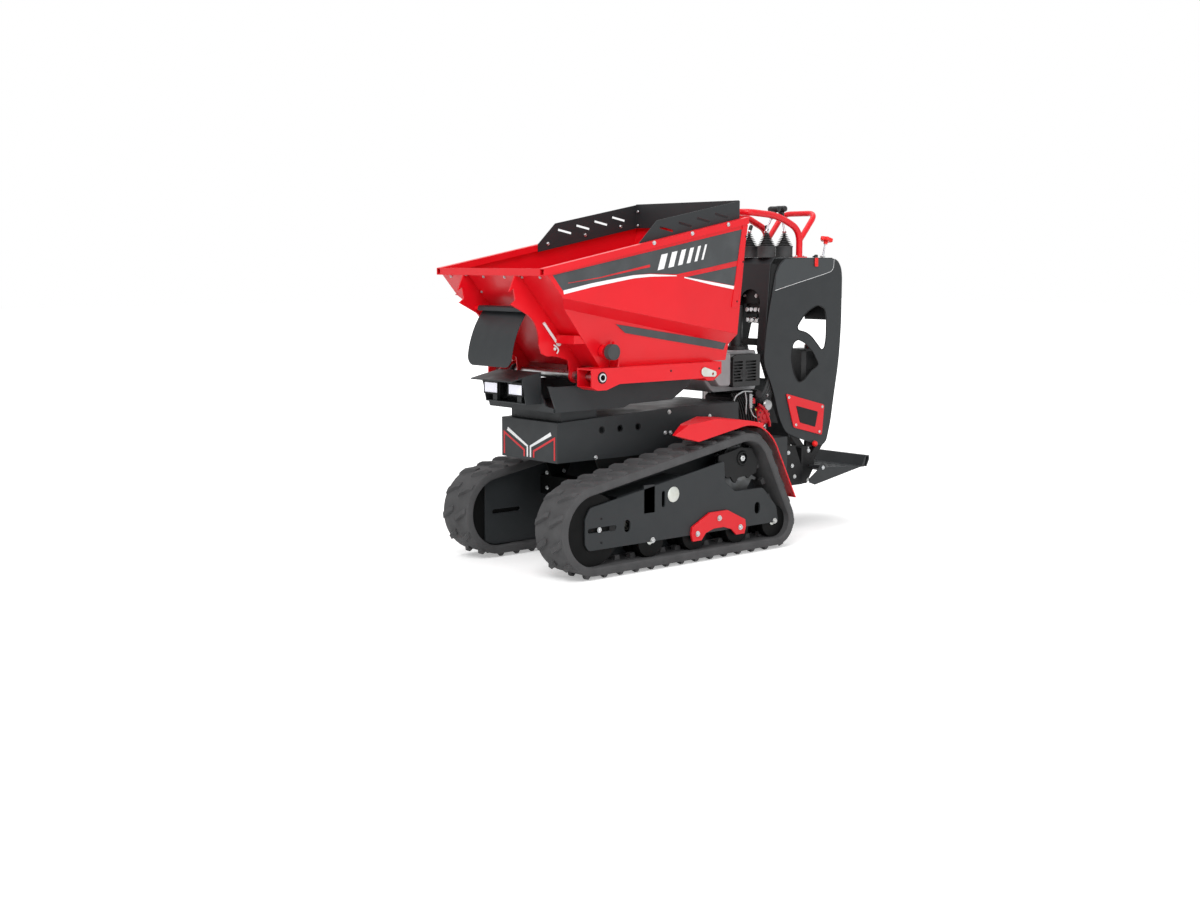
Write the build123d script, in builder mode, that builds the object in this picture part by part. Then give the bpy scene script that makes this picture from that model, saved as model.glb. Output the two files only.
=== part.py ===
"""Tracked mini site dumper: two rubber tracks, a box chassis, a forward tipping skip, an upright
rear console over the engine, and a folding rider's platform.  Millimetres, +X forward, +Y to the
machine's left, +Z up, the ground at z = 0 and the middle of the whole machine at x = y = 0."""
from build123d import *
from math import atan2, cos, degrees, hypot, pi, radians, sin
import os

os.makedirs("parts", exist_ok=True)

# ---- driving dimensions --------------------------------------------------------------------
GAP = 0.3                     # between faces that seat on each other
RUN = 6.0                     # between pieces that move past each other

# tracks
TRACK_OUT = 345.0             # outer face of a belt from the middle of the machine
BELT_WIDE = 150.0
BELT_THICK = 30.0
BELT_PITCH = 72.0
CORD_DEPTH = 12.0             # from a belt's inner face to its steel cords
LUG_HIGH, LUG_LONG = 12.0, 30.0
HORN_WIDE, HORN_LONG, HORN_HIGH = 20.0, 28.0, 18.0
IDLER_X, IDLER_R = 711.0, 125.0
SPROCKET_X, SPROCKET_Z, SPROCKET_R = -10.0, 303.0, 115.0
TOOTH_WIDE, TOOTH_LONG = 20.0, 18.0
TAIL_X, ROLLER_R = -178.0, 60.0
ROLLER_X = (443.0, 232.0, 14.0, TAIL_X)
HORN_CLEAR = 4.0              # beside and under the horns in a wheel's groove
PLATE_INSET = 20.0            # side plate behind the belt's outer face
PLATE_THICK = 8.0
MOTOR_R, HUB_R = 58.0, 45.0
SLOT_BACK, SLOT_LONG, SLOT_HIGH = 37.0, 128.0, 16.0   # of the idler's tensioner
WINDOW_X, WINDOW_Z, WINDOW_LONG, WINDOW_HIGH = 458.0, 250.0, 48.0, 96.0
ROCKER_X, ROCKER_THICK = 123.0, 8.0
FENDER_THICK = 3.0
FENDER_CLEAR = 16.0           # from the lugs to a fender
FENDER_TIP_Z = 185.0

# chassis
BOX_HALF = 157.0
BOX_FRONT, BOX_REAR = 735.0, -425.0
BOX_LOW, BOX_NOSE_TOP, BOX_TOP = 380.0, 520.0, 541.0
DECK_LEVEL_X = 211.0          # the deck slopes down in front of here
BAY_X, BAY_Z = -150.0, 388.0  # the engine stands lower, behind the box
TAIL_LOW = 190.0
BOX_WALL = 6.0
HOLE_X, HOLE_Z, HOLE_STEP, HOLE_R = 447.5, 483.0, 85.5, 11.0
BEAM_X, BEAM_Z, BEAM_SQUARE = (480.0, 100.0), 250.0, 70.0
BEAM_WALL = 6.0

# tipping frame
FRAME_HALF = 190.0
FRAME_PLATE = 8.0
FRAME_FRONT, FRAME_REAR = 797.0, 138.0
FRAME_LOW, FRAME_TOP = 560.0, 648.0
FLOOR_PLATE_REAR, FLOOR_PLATE_FRONT = 460.0, 764.0
SPACER_REAR, SPACER_FRONT, SPACER_HALF = 542.0, 704.0, 140.0
EAR_R = 26.0

# work lights
LAMP_Y, LAMP_WIDE, LAMP_HIGH = 69.6, 82.0, 48.0
LAMP_REAR, LAMP_FRONT, LAMP_Z = 815.0, 850.0, 638.0
LAMP_HALF = 115.0

# skip
PIVOT_X, PIVOT_Z, PIVOT_R = 648.0, 680.0, 15.0
SHAFT_WALL = 5.0
SKIP_WALL = 4.0
SKIP_HALF = 300.0
LIP_X, LIP_Z = 906.0, 1048.0
REAR_X, REAR_Z = -42.0, 1230.0
FLOOR_Z = 712.0
FLOOR_FRONT, FLOOR_REAR = 618.0, 18.0
RIM_SQUARE, RIM_WALL, RIM_PROUD = 24.0, 3.0, 6.0
RAIL_OUT, RAIL_WIDE, RAIL_WALL = 294.0, 78.0, 6.0
RAIL_FRONT, RAIL_REAR, RAIL_LOW = 694.0, 80.0, 655.0
RIB_OUT, RIB_PLATE = 150.0, 6.0
BOARD_FRONT, BOARD_KNEE, BOARD_REAR_Z, BOARD_THICK = 470.0, 388.0, 1290.0, 3.0
BOARD_FALL = 0.189            # of the side boards' top edge, for each millimetre forward
SLAT_LONG, SLAT_HIGH, SLAT_TURN = 66.0, 8.0, 11.2
SLAT_FRONT, SLAT_STEP, SLAT_UNDER = 343.0, 89.3, 38.0   # under the board's top edge
GUARD_HALF, GUARD_THICK, GUARD_CORNER = 125.0, 3.0, 35.0
STOP_X, STOP_Z, STOP_R, STOP_OUT = 610.0, 766.0, 27.0, 312.0
LATCH_R = 4.5
GUSSET_X, GUSSET_THICK = 572.0, 6.0

# tipping cylinder
CYL_BASE_X, CYL_BASE_Z = 240.0, 604.0
CYL_EYE_X, CYL_EYE_Z = 520.0, 672.0
CYL_R, ROD_R, EYE_R, CYL_PIN_R = 24.0, 14.0, 20.0, 9.0
EYE_WIDE = 22.0
LUG_PLATE = 8.0

# power pack
ENGINE_FRONT, ENGINE_REAR, ENGINE_HALF, ENGINE_HIGH = -165.0, -395.0, 125.0, 184.4
TANK_FRONT, TANK_REAR, TANK_LEFT, TANK_RIGHT, TANK_HIGH = -60.0, -345.0, 60.0, -130.0, 155.0
FILTER_X, FILTER_R, FILTER_HIGH, FLANGE_HIGH = -290.0, 26.0, 172.0, 14.0
COVER_FRONT, COVER_REAR, COVER_OUT = -164.0, -313.0, 112.0
COVER_LOW, COVER_TOP = 593.0, 716.0
LOUVRE_LONG, LOUVRE_HIGH, LOUVRE_STEP, LOUVRE_DEEP = 52.0, 6.0, 15.0, 3.0

# console
CONSOLE_HALF = 100.0
CONSOLE_TOP = 1085.0
SHEET = 4.0
TUBE = 30.0
ARCH_HALF, ARCH_TOP, ARCH_LOW = 55.0, 962.0, 430.0
BAR_R, REST_R, BAR_Y, BAR_BEND = 13.0, 11.0, 88.0, 30.0
BOOT_R, BOOT_HIGH, BOOT_CONE, BOOT_TAPER, BOOT_SIDES = 35.0, 44.0, 52.0, 22.0, 12
LEVER_R = 6.0

# platform
HINGE_X, HINGE_Z, HINGE_R = -621.0, 250.0, 8.0
STEP_HALF, STEP_SHEET = 170.0, 4.0
STEP_FRONT, STEP_REAR, STEP_Z = -650.0, -867.0, 236.0
BRACKET_HALF, BRACKET_PLATE = 130.0, 8.0

# worked out
BELT_LOW = LUG_HIGH + BELT_THICK
LUG_REACH = BELT_THICK + LUG_HIGH
IDLER_Z = BELT_LOW + IDLER_R
ROLLER_Z = BELT_LOW + ROLLER_R
TRACK_IN = TRACK_OUT - BELT_WIDE
TRACK_MID = TRACK_OUT - BELT_WIDE / 2
PLATE_OUT = TRACK_OUT - PLATE_INSET
PLATE_IN = TRACK_IN + PLATE_INSET
BETWEEN_OUT = PLATE_OUT - PLATE_THICK
BETWEEN_IN = PLATE_IN + PLATE_THICK
RAIL_IN = RAIL_OUT - RAIL_WIDE
RIM_IN = SKIP_HALF + RIM_PROUD - RIM_SQUARE
CONSOLE_IN = CONSOLE_HALF - SHEET - GAP
SIDES = (("left", 1), ("right", -1))


def upright(*ys):
    """Upright lengthways plane whose extrusions start at the largest of these y values."""
    return Plane.XZ.offset(-max(ys))


def across(x):
    """Upright crossways plane at x: its sketches are in (y, z), its extrusions run forward."""
    return Plane.YZ.offset(x)


def deck(x):
    """Height of a piece that stands on the chassis at x."""
    share = (BOX_FRONT - x) / (BOX_FRONT - DECK_LEVEL_X)
    return BOX_NOSE_TOP + (BOX_TOP - BOX_NOSE_TOP) * min(share, 1) + GAP


def shape(*corners):
    """Flat shape with straight edges between these corners."""
    with BuildSketch(Plane.XY) as flat:
        with BuildLine():
            Polyline(*corners, close=True)
        make_face()
    return flat.sketch


def save(part, name):
    part.label = name
    export_step(part, f"parts/{name}.step")


# ---- tracks --------------------------------------------------------------------------------
def belt_line(grow):
    """The area inside a belt's line, this far outside the wheels that it runs round."""
    with BuildSketch(Plane.XY) as hull:
        for x, z, r in ((IDLER_X, IDLER_Z, IDLER_R), (SPROCKET_X, SPROCKET_Z, SPROCKET_R),
                        (TAIL_X, ROLLER_Z, ROLLER_R)):
            with Locations((x, z)):
                Circle(r + grow)
        make_hull()
    return hull.sketch


cords = belt_line(CORD_DEPTH).face().outer_wire()
pitches = round(cords.length / BELT_PITCH)
pitch = cords.length / pitches
inner_line = belt_line(0)


def along_belt(shift):
    """Point and heading of the cords at every pitch, moved on by this share of a pitch."""
    places = []
    for i in range(pitches):
        distance = ((i + shift) % pitches) * pitch
        point = cords.position_at(distance, position_mode=PositionMode.LENGTH)
        way = cords.tangent_at(distance, position_mode=PositionMode.LENGTH)
        places.append((point.X, point.Y, degrees(atan2(way.Y, way.X))))
    return places


def blocks(shift, long, reach_in, reach_out):
    """A block at every pitch, between a line inside the cords and one outside the wheels."""
    with BuildSketch(Plane.XY) as row:
        for x, z, turn in along_belt(shift):
            with Locations(Location((x, z), turn)):
                Rectangle(long, 2 * (reach_in + CORD_DEPTH))
        add(belt_line(reach_out), mode=Mode.INTERSECT)
    return row.sketch


horns = blocks(0, HORN_LONG, HORN_HIGH, CORD_DEPTH)
lug_rows = (blocks(0.25, LUG_LONG, LUG_REACH, LUG_REACH), blocks(0.75, LUG_LONG, LUG_REACH, LUG_REACH))
row_wide = BELT_WIDE / 2
for name, s in SIDES:
    with BuildPart() as track:
        # carcass
        with BuildSketch(upright(s * TRACK_OUT, s * TRACK_IN)):
            add(belt_line(BELT_THICK))
            add(inner_line, mode=Mode.SUBTRACT)
        extrude(amount=BELT_WIDE)
        # two staggered rows of lugs
        for k, row in enumerate(lug_rows):
            start = TRACK_OUT - k * row_wide
            with BuildSketch(upright(s * start, s * (start - row_wide))):
                add(row)
                add(inner_line, mode=Mode.SUBTRACT)
            extrude(amount=row_wide)
        # drive horns down the middle of the inner face
        with BuildSketch(upright(s * (TRACK_MID + HORN_WIDE / 2), s * (TRACK_MID - HORN_WIDE / 2))):
            add(horns)
        extrude(amount=HORN_WIDE)
    save(track.part, f"{name}_track")

# wheels: a groove round each lets the horns pass
groove_half = HORN_WIDE / 2 + HORN_CLEAR
groove_deep = HORN_HIGH + HORN_CLEAR


def wheel(x, z, r, s):
    """Grooved wheel that fills the room between the side plates, round the belt's middle."""
    middle = Plane(origin=(x, s * TRACK_MID, z), x_dir=(0, 1, 0), z_dir=(1, 0, 0))
    half = BETWEEN_OUT - TRACK_MID - GAP
    with BuildPart() as turned:
        with BuildSketch(middle):
            add(shape((-half, 0), (-half, r), (-groove_half, r), (-groove_half, r - groove_deep),
                      (groove_half, r - groove_deep), (groove_half, r), (half, r), (half, 0)))
        revolve(axis=Axis((x, 0, z), (0, 1, 0)))
    return turned.part


with BuildPart() as rollers:
    for _, s in SIDES:
        for x in ROLLER_X:
            add(wheel(x, ROLLER_Z, ROLLER_R - GAP, s))
save(rollers.part, "rollers")

with BuildPart() as idlers:
    for _, s in SIDES:
        add(wheel(IDLER_X, IDLER_Z, IDLER_R - GAP, s))
save(idlers.part, "idlers")

# sprocket and hydraulic motor of each side
mesh = min(along_belt(0.5), key=lambda p: hypot(p[0] - SPROCKET_X, p[1] - SPROCKET_Z))
mesh_angle = degrees(atan2(mesh[1] - SPROCKET_Z, mesh[0] - SPROCKET_X))
root_r = SPROCKET_R - groove_deep
teeth = round(2 * pi * (SPROCKET_R + CORD_DEPTH) / pitch)
tooth_out = SPROCKET_R - GAP
with BuildPart() as drives:
    for _, s in SIDES:
        with BuildSketch(upright(s * (TRACK_MID + TOOTH_WIDE / 2), s * (TRACK_MID - TOOTH_WIDE / 2))):
            with Locations((SPROCKET_X, SPROCKET_Z)):
                Circle(root_r)
            for i in range(teeth):
                turn = mesh_angle + i * 360 / teeth
                with Locations(Location((SPROCKET_X, SPROCKET_Z), turn)):
                    with Locations(((root_r + tooth_out) / 2 - 5, 0)):
                        with Locations(Location((0, 0), -90)):
                            Trapezoid(TOOTH_LONG, tooth_out - root_r + 10, 82)
        extrude(amount=TOOTH_WIDE)
        # hub, from the motor's nose to the outer bearing plate
        with BuildSketch(upright(s * (BETWEEN_OUT - PLATE_THICK), s * (BETWEEN_IN + 14 + GAP))):
            with Locations((SPROCKET_X, SPROCKET_Z)):
                Circle(HUB_R - 10)
        extrude(amount=BETWEEN_OUT - PLATE_THICK - BETWEEN_IN - 14 - GAP)
        # motor: nose through the inner plate, body against it
        for r, y_out, y_in in ((HUB_R - GAP, BETWEEN_IN + 14, PLATE_IN - GAP),
                               (MOTOR_R, PLATE_IN - GAP, BOX_HALF + RUN)):
            with BuildSketch(upright(s * y_out, s * y_in)):
                with Locations((SPROCKET_X, SPROCKET_Z)):
                    Circle(r)
            extrude(amount=y_out - y_in)
save(drives.part, "drive_units")

plate_low = ROLLER_Z - 4
for name, s in SIDES:
    with BuildPart() as frame:
        # outer side plate, cut away over the sprocket
        with BuildSketch(upright(s * PLATE_OUT, s * BETWEEN_OUT)):
            add(shape((TAIL_X - 20, plate_low), (IDLER_X + 29, plate_low), (IDLER_X + 41, IDLER_Z - 47),
                      (IDLER_X + 41, IDLER_Z + 41), (IDLER_X + 17, IDLER_Z + 81),
                      (SPROCKET_X + 102, SPROCKET_Z + 49), (SPROCKET_X + 96, SPROCKET_Z - 25),
                      (SPROCKET_X + 46, SPROCKET_Z - 67), (SPROCKET_X - 107, SPROCKET_Z - 67)))
            add(belt_line(-PLATE_THICK), mode=Mode.INTERSECT)
            with Locations((WINDOW_X, WINDOW_Z)):
                Rectangle(WINDOW_LONG, WINDOW_HIGH, mode=Mode.SUBTRACT)
            with Locations((391, 243)):
                SlotOverall(58, 16, rotation=90, mode=Mode.SUBTRACT)
            with Locations((IDLER_X - SLOT_BACK, IDLER_Z)):
                SlotOverall(SLOT_LONG, SLOT_HIGH, mode=Mode.SUBTRACT)
            with Locations((560, 166), (-84, 162)):
                SlotOverall(44, 28, rotation=90, mode=Mode.SUBTRACT)
        extrude(amount=PLATE_THICK)
        # outer bearing plate of the sprocket, behind the cut-away
        with BuildSketch(upright(s * (BETWEEN_OUT), s * (BETWEEN_OUT - PLATE_THICK))):
            with Locations((SPROCKET_X, SPROCKET_Z)):
                add(shape((112, 57), (88, -20), (60, -80), (-70, -80), (-92, -3), (-90, 37), (-50, 85),
                          (10, 95)))
            add(belt_line(-PLATE_THICK - RUN), mode=Mode.INTERSECT)
        extrude(amount=PLATE_THICK)
        # inner side plate, with the motor's nose through it
        with BuildSketch(upright(s * BETWEEN_IN, s * PLATE_IN)):
            add(belt_line(-PLATE_THICK))
            with Locations(((TAIL_X + IDLER_X) / 2, plate_low + 500)):
                Rectangle(IDLER_X - TAIL_X + 82, 1000, mode=Mode.INTERSECT)
            with Locations((SPROCKET_X, SPROCKET_Z)):
                Circle(HUB_R, mode=Mode.SUBTRACT)
            with Locations((IDLER_X - SLOT_BACK, IDLER_Z)):
                SlotOverall(SLOT_LONG, SLOT_HIGH, mode=Mode.SUBTRACT)
        extrude(amount=PLATE_THICK)
        # two webs that tie the plates together
        with BuildSketch(upright(s * BETWEEN_OUT, s * BETWEEN_IN)):
            add(shape((300, 318), (300, 308), (600, 259), (600, 269)))
            with Locations((338, IDLER_Z), (132, IDLER_Z)):
                Rectangle(50, 50)
        extrude(amount=BETWEEN_OUT - BETWEEN_IN)
    save(frame.part, f"{name}_track_frame")

with BuildPart() as rockers:
    for _, s in SIDES:
        rocker_in = PLATE_OUT + GAP
        with BuildSketch(upright(s * (rocker_in + ROCKER_THICK), s * rocker_in)):
            with Locations((ROCKER_X, ROLLER_Z)):
                add(shape((139, 0), (135, 26), (47, 70), (-43, 70), (-135, 26), (-139, 0), (-131, -26),
                          (-89, -26), (-63, -2), (-23, 10), (27, 10), (67, -2), (89, -26), (131, -26)))
        extrude(amount=ROCKER_THICK)
save(rockers.part, "rockers")

# a folded sheet: straight panels in front, then round the back of the belt down to its tip
belt_room = belt_line(LUG_REACH + FENDER_CLEAR)
with BuildSketch(Plane.XY) as fender_side:
    add(belt_line(LUG_REACH + FENDER_CLEAR + FENDER_THICK + 2))
    add(shape((-70, 900), (-900, 900), (-900, FENDER_TIP_Z), (-200, FENDER_TIP_Z), (-70, 400)),
        mode=Mode.INTERSECT)
    add(shape((359, 466), (290, 499), (152, 512), (-9, 495), (-90, 480), (-90, 300), (221, 430)))
for name, s in SIDES:
    with BuildPart() as fender:
        with BuildSketch(upright(s * TRACK_OUT, s * (BOX_HALF + GAP))):
            add(fender_side.sketch)
            add(belt_room, mode=Mode.SUBTRACT)
        extrude(amount=TRACK_OUT - BOX_HALF - GAP)
        skirt_in = TRACK_OUT - FENDER_THICK
        with BuildSketch(upright(s * skirt_in, s * BOX_HALF)):
            add(fender_side.sketch)
            offset(amount=-FENDER_THICK, kind=Kind.INTERSECTION, mode=Mode.REPLACE)
        extrude(amount=skirt_in - BOX_HALF, mode=Mode.SUBTRACT)
    save(fender.part, f"{name}_fender")

# ---- chassis -------------------------------------------------------------------------------
with BuildPart() as chassis:
    with BuildSketch(upright(BOX_HALF)):
        add(shape((BOX_FRONT, BOX_LOW), (BOX_FRONT, BOX_NOSE_TOP), (DECK_LEVEL_X, BOX_TOP), (BAY_X, BOX_TOP),
                  (BAY_X, BAY_Z), (BOX_REAR, BAY_Z), (BOX_REAR, TAIL_LOW), (-330, TAIL_LOW), (-250, 300),
                  (-130, BOX_LOW)))
    extrude(amount=2 * BOX_HALF)
    # hollow and open below
    w = BOX_WALL
    with BuildSketch(upright(BOX_HALF - w)):
        add(shape((BOX_FRONT - w, 0), (BOX_FRONT - w, BOX_NOSE_TOP - w), (DECK_LEVEL_X, BOX_TOP - w),
                  (BAY_X + w, BOX_TOP - w), (BAY_X + w, BAY_Z - w), (BOX_REAR + w, BAY_Z - w),
                  (BOX_REAR + w, 0)))
    extrude(amount=2 * (BOX_HALF - w), mode=Mode.SUBTRACT)
    # bulkheads over the cross beams
    for x in BEAM_X:
        with BuildSketch(across(x - w / 2)):
            with Locations((0, (BOX_LOW + BOX_NOSE_TOP) / 2)):
                Rectangle(2 * BOX_HALF - w, BOX_NOSE_TOP - BOX_LOW)
        extrude(amount=w)
    # row of accessory holes through both side walls
    with BuildSketch(upright(BOX_HALF)):
        with Locations((HOLE_X, HOLE_Z)):
            with GridLocations(HOLE_STEP, 1, 3, 1):
                Circle(HOLE_R)
    extrude(amount=2 * BOX_HALF, mode=Mode.SUBTRACT)
save(chassis.part, "chassis_frame")

with BuildPart() as beams:
    for x in BEAM_X:
        with BuildSketch(Plane.XZ.offset(-(PLATE_IN - GAP))):
            with Locations((x, BEAM_Z)):
                Rectangle(BEAM_SQUARE, BEAM_SQUARE)
                Rectangle(BEAM_SQUARE - 2 * BEAM_WALL, BEAM_SQUARE - 2 * BEAM_WALL, mode=Mode.SUBTRACT)
        extrude(amount=2 * (PLATE_IN - GAP))
        # gussets up to the side walls of the box
        beam_top = BEAM_Z + BEAM_SQUARE / 2
        for s in (1, -1):
            with BuildSketch(upright(s * BOX_HALF, s * (BOX_HALF - PLATE_THICK))):
                add(shape((x - 35, beam_top), (x + 35, beam_top), (x + 80, BOX_LOW - GAP),
                          (x - 80, BOX_LOW - GAP)))
            extrude(amount=PLATE_THICK)
save(beams.part, "cross_beams")

# ---- tipping frame -------------------------------------------------------------------------
frame_in = FRAME_HALF - FRAME_PLATE
with BuildPart() as tipping:
    for s in (1, -1):
        with BuildSketch(upright(s * FRAME_HALF, s * frame_in)):
            add(shape((FRAME_FRONT, 652), (770, 584), (FLOOR_PLATE_FRONT, FRAME_LOW),
                      (FLOOR_PLATE_REAR, FRAME_LOW), (430, 571), (227, 575), (173, 606), (FRAME_REAR, 630),
                      (FRAME_REAR, FRAME_TOP), (PIVOT_X - EAR_R, FRAME_TOP), (PIVOT_X, PIVOT_Z),
                      (PIVOT_X + EAR_R, FRAME_TOP), (770, FRAME_TOP)))
            with Locations((PIVOT_X, PIVOT_Z)):
                Circle(EAR_R)
                Circle(PIVOT_R, mode=Mode.SUBTRACT)
        extrude(amount=FRAME_PLATE)
    # floor between the side plates, on a spacer that stands on the deck, and a tie bar behind
    with BuildSketch(upright(frame_in)):
        add(shape((FLOOR_PLATE_FRONT, FRAME_LOW), (FLOOR_PLATE_FRONT, FRAME_LOW + FRAME_PLATE),
                  (FLOOR_PLATE_REAR, FRAME_LOW + FRAME_PLATE), (FLOOR_PLATE_REAR, FRAME_LOW)))
        add(shape((290, 575), (330, 575), (330, 588), (290, 588)))
    extrude(amount=2 * frame_in)
    with BuildSketch(upright(SPACER_HALF)):
        add(shape((SPACER_FRONT, deck(SPACER_FRONT)), (SPACER_FRONT, FRAME_LOW + 1),
                  (SPACER_REAR, FRAME_LOW + 1), (SPACER_REAR, deck(SPACER_REAR))))
    extrude(amount=2 * SPACER_HALF)
    # front plate that carries the lights
    with BuildSketch(across(FLOOR_PLATE_FRONT)):
        add(shape((frame_in, FRAME_LOW), (frame_in, 574), (140, 580), (80, 665), (-80, 665), (-140, 580),
                  (-frame_in, 574), (-frame_in, FRAME_LOW)))
    extrude(amount=6)
    # base pin of the tipping cylinder
    with BuildSketch(upright(frame_in)):
        with Locations((CYL_BASE_X, CYL_BASE_Z)):
            Circle(CYL_PIN_R)
    extrude(amount=2 * frame_in)
save(tipping.part, "tipping_frame")

shaft_half = RAIL_OUT + 4
with BuildPart() as shaft:
    with BuildSketch(upright(shaft_half)):
        with Locations((PIVOT_X, PIVOT_Z)):
            Circle(PIVOT_R - GAP)
            Circle(PIVOT_R - SHAFT_WALL, mode=Mode.SUBTRACT)
    extrude(amount=2 * shaft_half)
save(shaft.part, "tipping_shaft")

lamp_low = LAMP_Z - LAMP_HIGH / 2
with BuildPart() as lamps:
    for y in (LAMP_Y, -LAMP_Y):
        with BuildSketch(across(LAMP_REAR)):
            with Locations((y, LAMP_Z)):
                RectangleRounded(LAMP_WIDE, LAMP_HIGH, 8)
        extrude(amount=LAMP_FRONT - LAMP_REAR)
save(lamps.part, "work_lights")

bracket_rear = FLOOR_PLATE_FRONT + 6 + GAP
with BuildPart() as lamp_bracket:
    # cheeks with a floor between them, a back plate and a visor
    for s in (1, -1):
        with BuildSketch(upright(s * LAMP_HALF, s * (LAMP_HALF - SHEET))):
            add(shape((bracket_rear, 586), (LAMP_FRONT - 15, 586), (LAMP_FRONT, 664), (LAMP_FRONT, 680),
                      (bracket_rear, 695)))
        extrude(amount=SHEET)
    with BuildSketch(upright(LAMP_HALF)):
        add(shape((bracket_rear, 586), (bracket_rear, 590), (LAMP_FRONT - 14, 590), (LAMP_FRONT - 15, 586)))
        add(shape((bracket_rear, 586), (bracket_rear + SHEET, 586), (bracket_rear + SHEET, 695),
                  (bracket_rear, 695)))
        add(shape((bracket_rear, 695), (LAMP_FRONT, 680), (900, 669), (900, 665), (LAMP_FRONT, 676),
                  (bracket_rear, 691)))
    extrude(amount=2 * LAMP_HALF)
    # one pedestal under each lamp
    for y in (LAMP_Y, -LAMP_Y):
        with BuildSketch(Plane.XY.offset(589)):
            with Locations(((LAMP_REAR + LAMP_FRONT - 20) / 2, y)):
                Rectangle(14, 24)
        extrude(amount=lamp_low - GAP - 589)
save(lamp_bracket.part, "lamp_bracket")

# ---- skip ----------------------------------------------------------------------------------
# sections of the tub: x, height of its crease, height and half width under it, half width at the floor
TUB_SECTIONS = ((-100, 789.2, 750.5, 257.8, 251.0), (950, 973.3, 943.9, 268.0, 238.8))
rim_fall = (REAR_Z - LIP_Z) / (LIP_X - REAR_X)
wall_lean = (LIP_X - FLOOR_FRONT) / (LIP_Z - FLOOR_Z)


def rim_z(x):
    """Height of the rim's top face at x."""
    return LIP_Z + (LIP_X - x) * rim_fall


def front_x(z):
    """Outer face of the skip's sloping front wall at this height, with its seating gap."""
    return FLOOR_FRONT + (z - FLOOR_Z) * wall_lean + GAP * hypot(1, wall_lean)


def tub_half(x, z):
    """Half width of the tub below its crease at x, z."""
    (xa, _, za, ya, fa), (xb, _, zb, yb, fb) = TUB_SECTIONS
    share = (x - xa) / (xb - xa)
    low, half, floor = za + share * (zb - za), ya + share * (yb - ya), fa + share * (fb - fa)
    return floor + (half - floor) * (z - FLOOR_Z + 20) / (low - FLOOR_Z + 20)


def skip_side(inset):
    """Side outline of the skip up to the underside of its rim; inset walls it in and opens its top."""
    rise = 1.6 if inset else 1.0
    front = (FLOOR_FRONT + (LIP_X - FLOOR_FRONT) * rise, FLOOR_Z + (LIP_Z - FLOOR_Z) * rise)
    back = (FLOOR_REAR + (REAR_X - FLOOR_REAR) * rise, FLOOR_Z + (REAR_Z - FLOOR_Z) * rise)
    with BuildSketch(Plane.XY) as side:
        add(shape(front, (FLOOR_FRONT, FLOOR_Z), (FLOOR_REAR, FLOOR_Z), back))
        if inset:
            offset(amount=-inset, kind=Kind.INTERSECTION, mode=Mode.REPLACE)
        else:
            drop = RIM_SQUARE - RIM_WALL
            add(shape((LIP_X, LIP_Z - drop), (REAR_X, REAR_Z - drop), (REAR_X, FLOOR_Z - 50),
                      (LIP_X, FLOOR_Z - 50)), mode=Mode.INTERSECT)
    return side.sketch


def skip_body(inset):
    """Solid inside the tub's outer faces, or this far inside them."""
    with BuildPart() as body:
        for x, crease, low, low_y, floor_y in TUB_SECTIONS:
            half, low_half, floor_half = SKIP_HALF - inset, low_y - inset, floor_y - inset
            with BuildSketch(across(x)):
                add(shape((half, 1500), (half, crease), (low_half, low), (floor_half, FLOOR_Z - 20),
                          (-floor_half, FLOOR_Z - 20), (-low_half, low), (-half, crease), (-half, 1500)))
        loft(ruled=True)
        with BuildSketch(upright(SKIP_HALF + 10)):
            add(skip_side(inset))
        extrude(amount=2 * SKIP_HALF + 20, mode=Mode.INTERSECT)
    return body.part


rim_out = SKIP_HALF + RIM_PROUD
with BuildPart() as tub:
    add(skip_body(0))
    add(skip_body(SKIP_WALL), mode=Mode.SUBTRACT)
    # square tubes along the sides, open at the front
    for s in (1, -1):
        with BuildSketch(upright(s * rim_out, s * RIM_IN)):
            add(shape((LIP_X, LIP_Z), (REAR_X, REAR_Z), (REAR_X, REAR_Z - RIM_SQUARE),
                      (LIP_X, LIP_Z - RIM_SQUARE)))
        extrude(amount=RIM_SQUARE)
        end_z = rim_z(REAR_X + RIM_WALL)
        with BuildSketch(upright(s * (rim_out - RIM_WALL), s * (RIM_IN + RIM_WALL))):
            add(shape((LIP_X, LIP_Z - RIM_WALL), (REAR_X + RIM_WALL, end_z - RIM_WALL),
                      (REAR_X + RIM_WALL, end_z - RIM_SQUARE + RIM_WALL),
                      (LIP_X, LIP_Z - RIM_SQUARE + RIM_WALL)))
        extrude(amount=RIM_SQUARE - 2 * RIM_WALL, mode=Mode.SUBTRACT)
    # bars along the lip and the rear edge
    with BuildSketch(upright(RIM_IN)):
        for x, z in ((LIP_X - RIM_SQUARE / 2, LIP_Z), (REAR_X + RIM_SQUARE / 2, REAR_Z)):
            with Locations((x, z - RIM_SQUARE / 2)):
                Rectangle(RIM_SQUARE, RIM_SQUARE)
                Rectangle(RIM_SQUARE - 2 * RIM_WALL, RIM_SQUARE - 2 * RIM_WALL, mode=Mode.SUBTRACT)
    extrude(amount=2 * RIM_IN)
save(tub.part, "skip_tub")


def rail_side(front, inset):
    """Side outline of a rail with its front end at this x, or this far inside it."""
    top = FLOOR_Z - GAP - inset
    with BuildSketch(Plane.XY) as side:
        add(shape((front, FLOOR_Z - GAP), (front, 648), (PIVOT_X + 20, 637), (PIVOT_X - 20, 637),
                  (569, RAIL_LOW), (164, RAIL_LOW), (150, 645), (120, 645), (RAIL_REAR, 670),
                  (RAIL_REAR, FLOOR_Z - GAP)))
        if inset:
            offset(amount=-inset, kind=Kind.INTERSECTION, mode=Mode.REPLACE)
    return side.sketch


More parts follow.
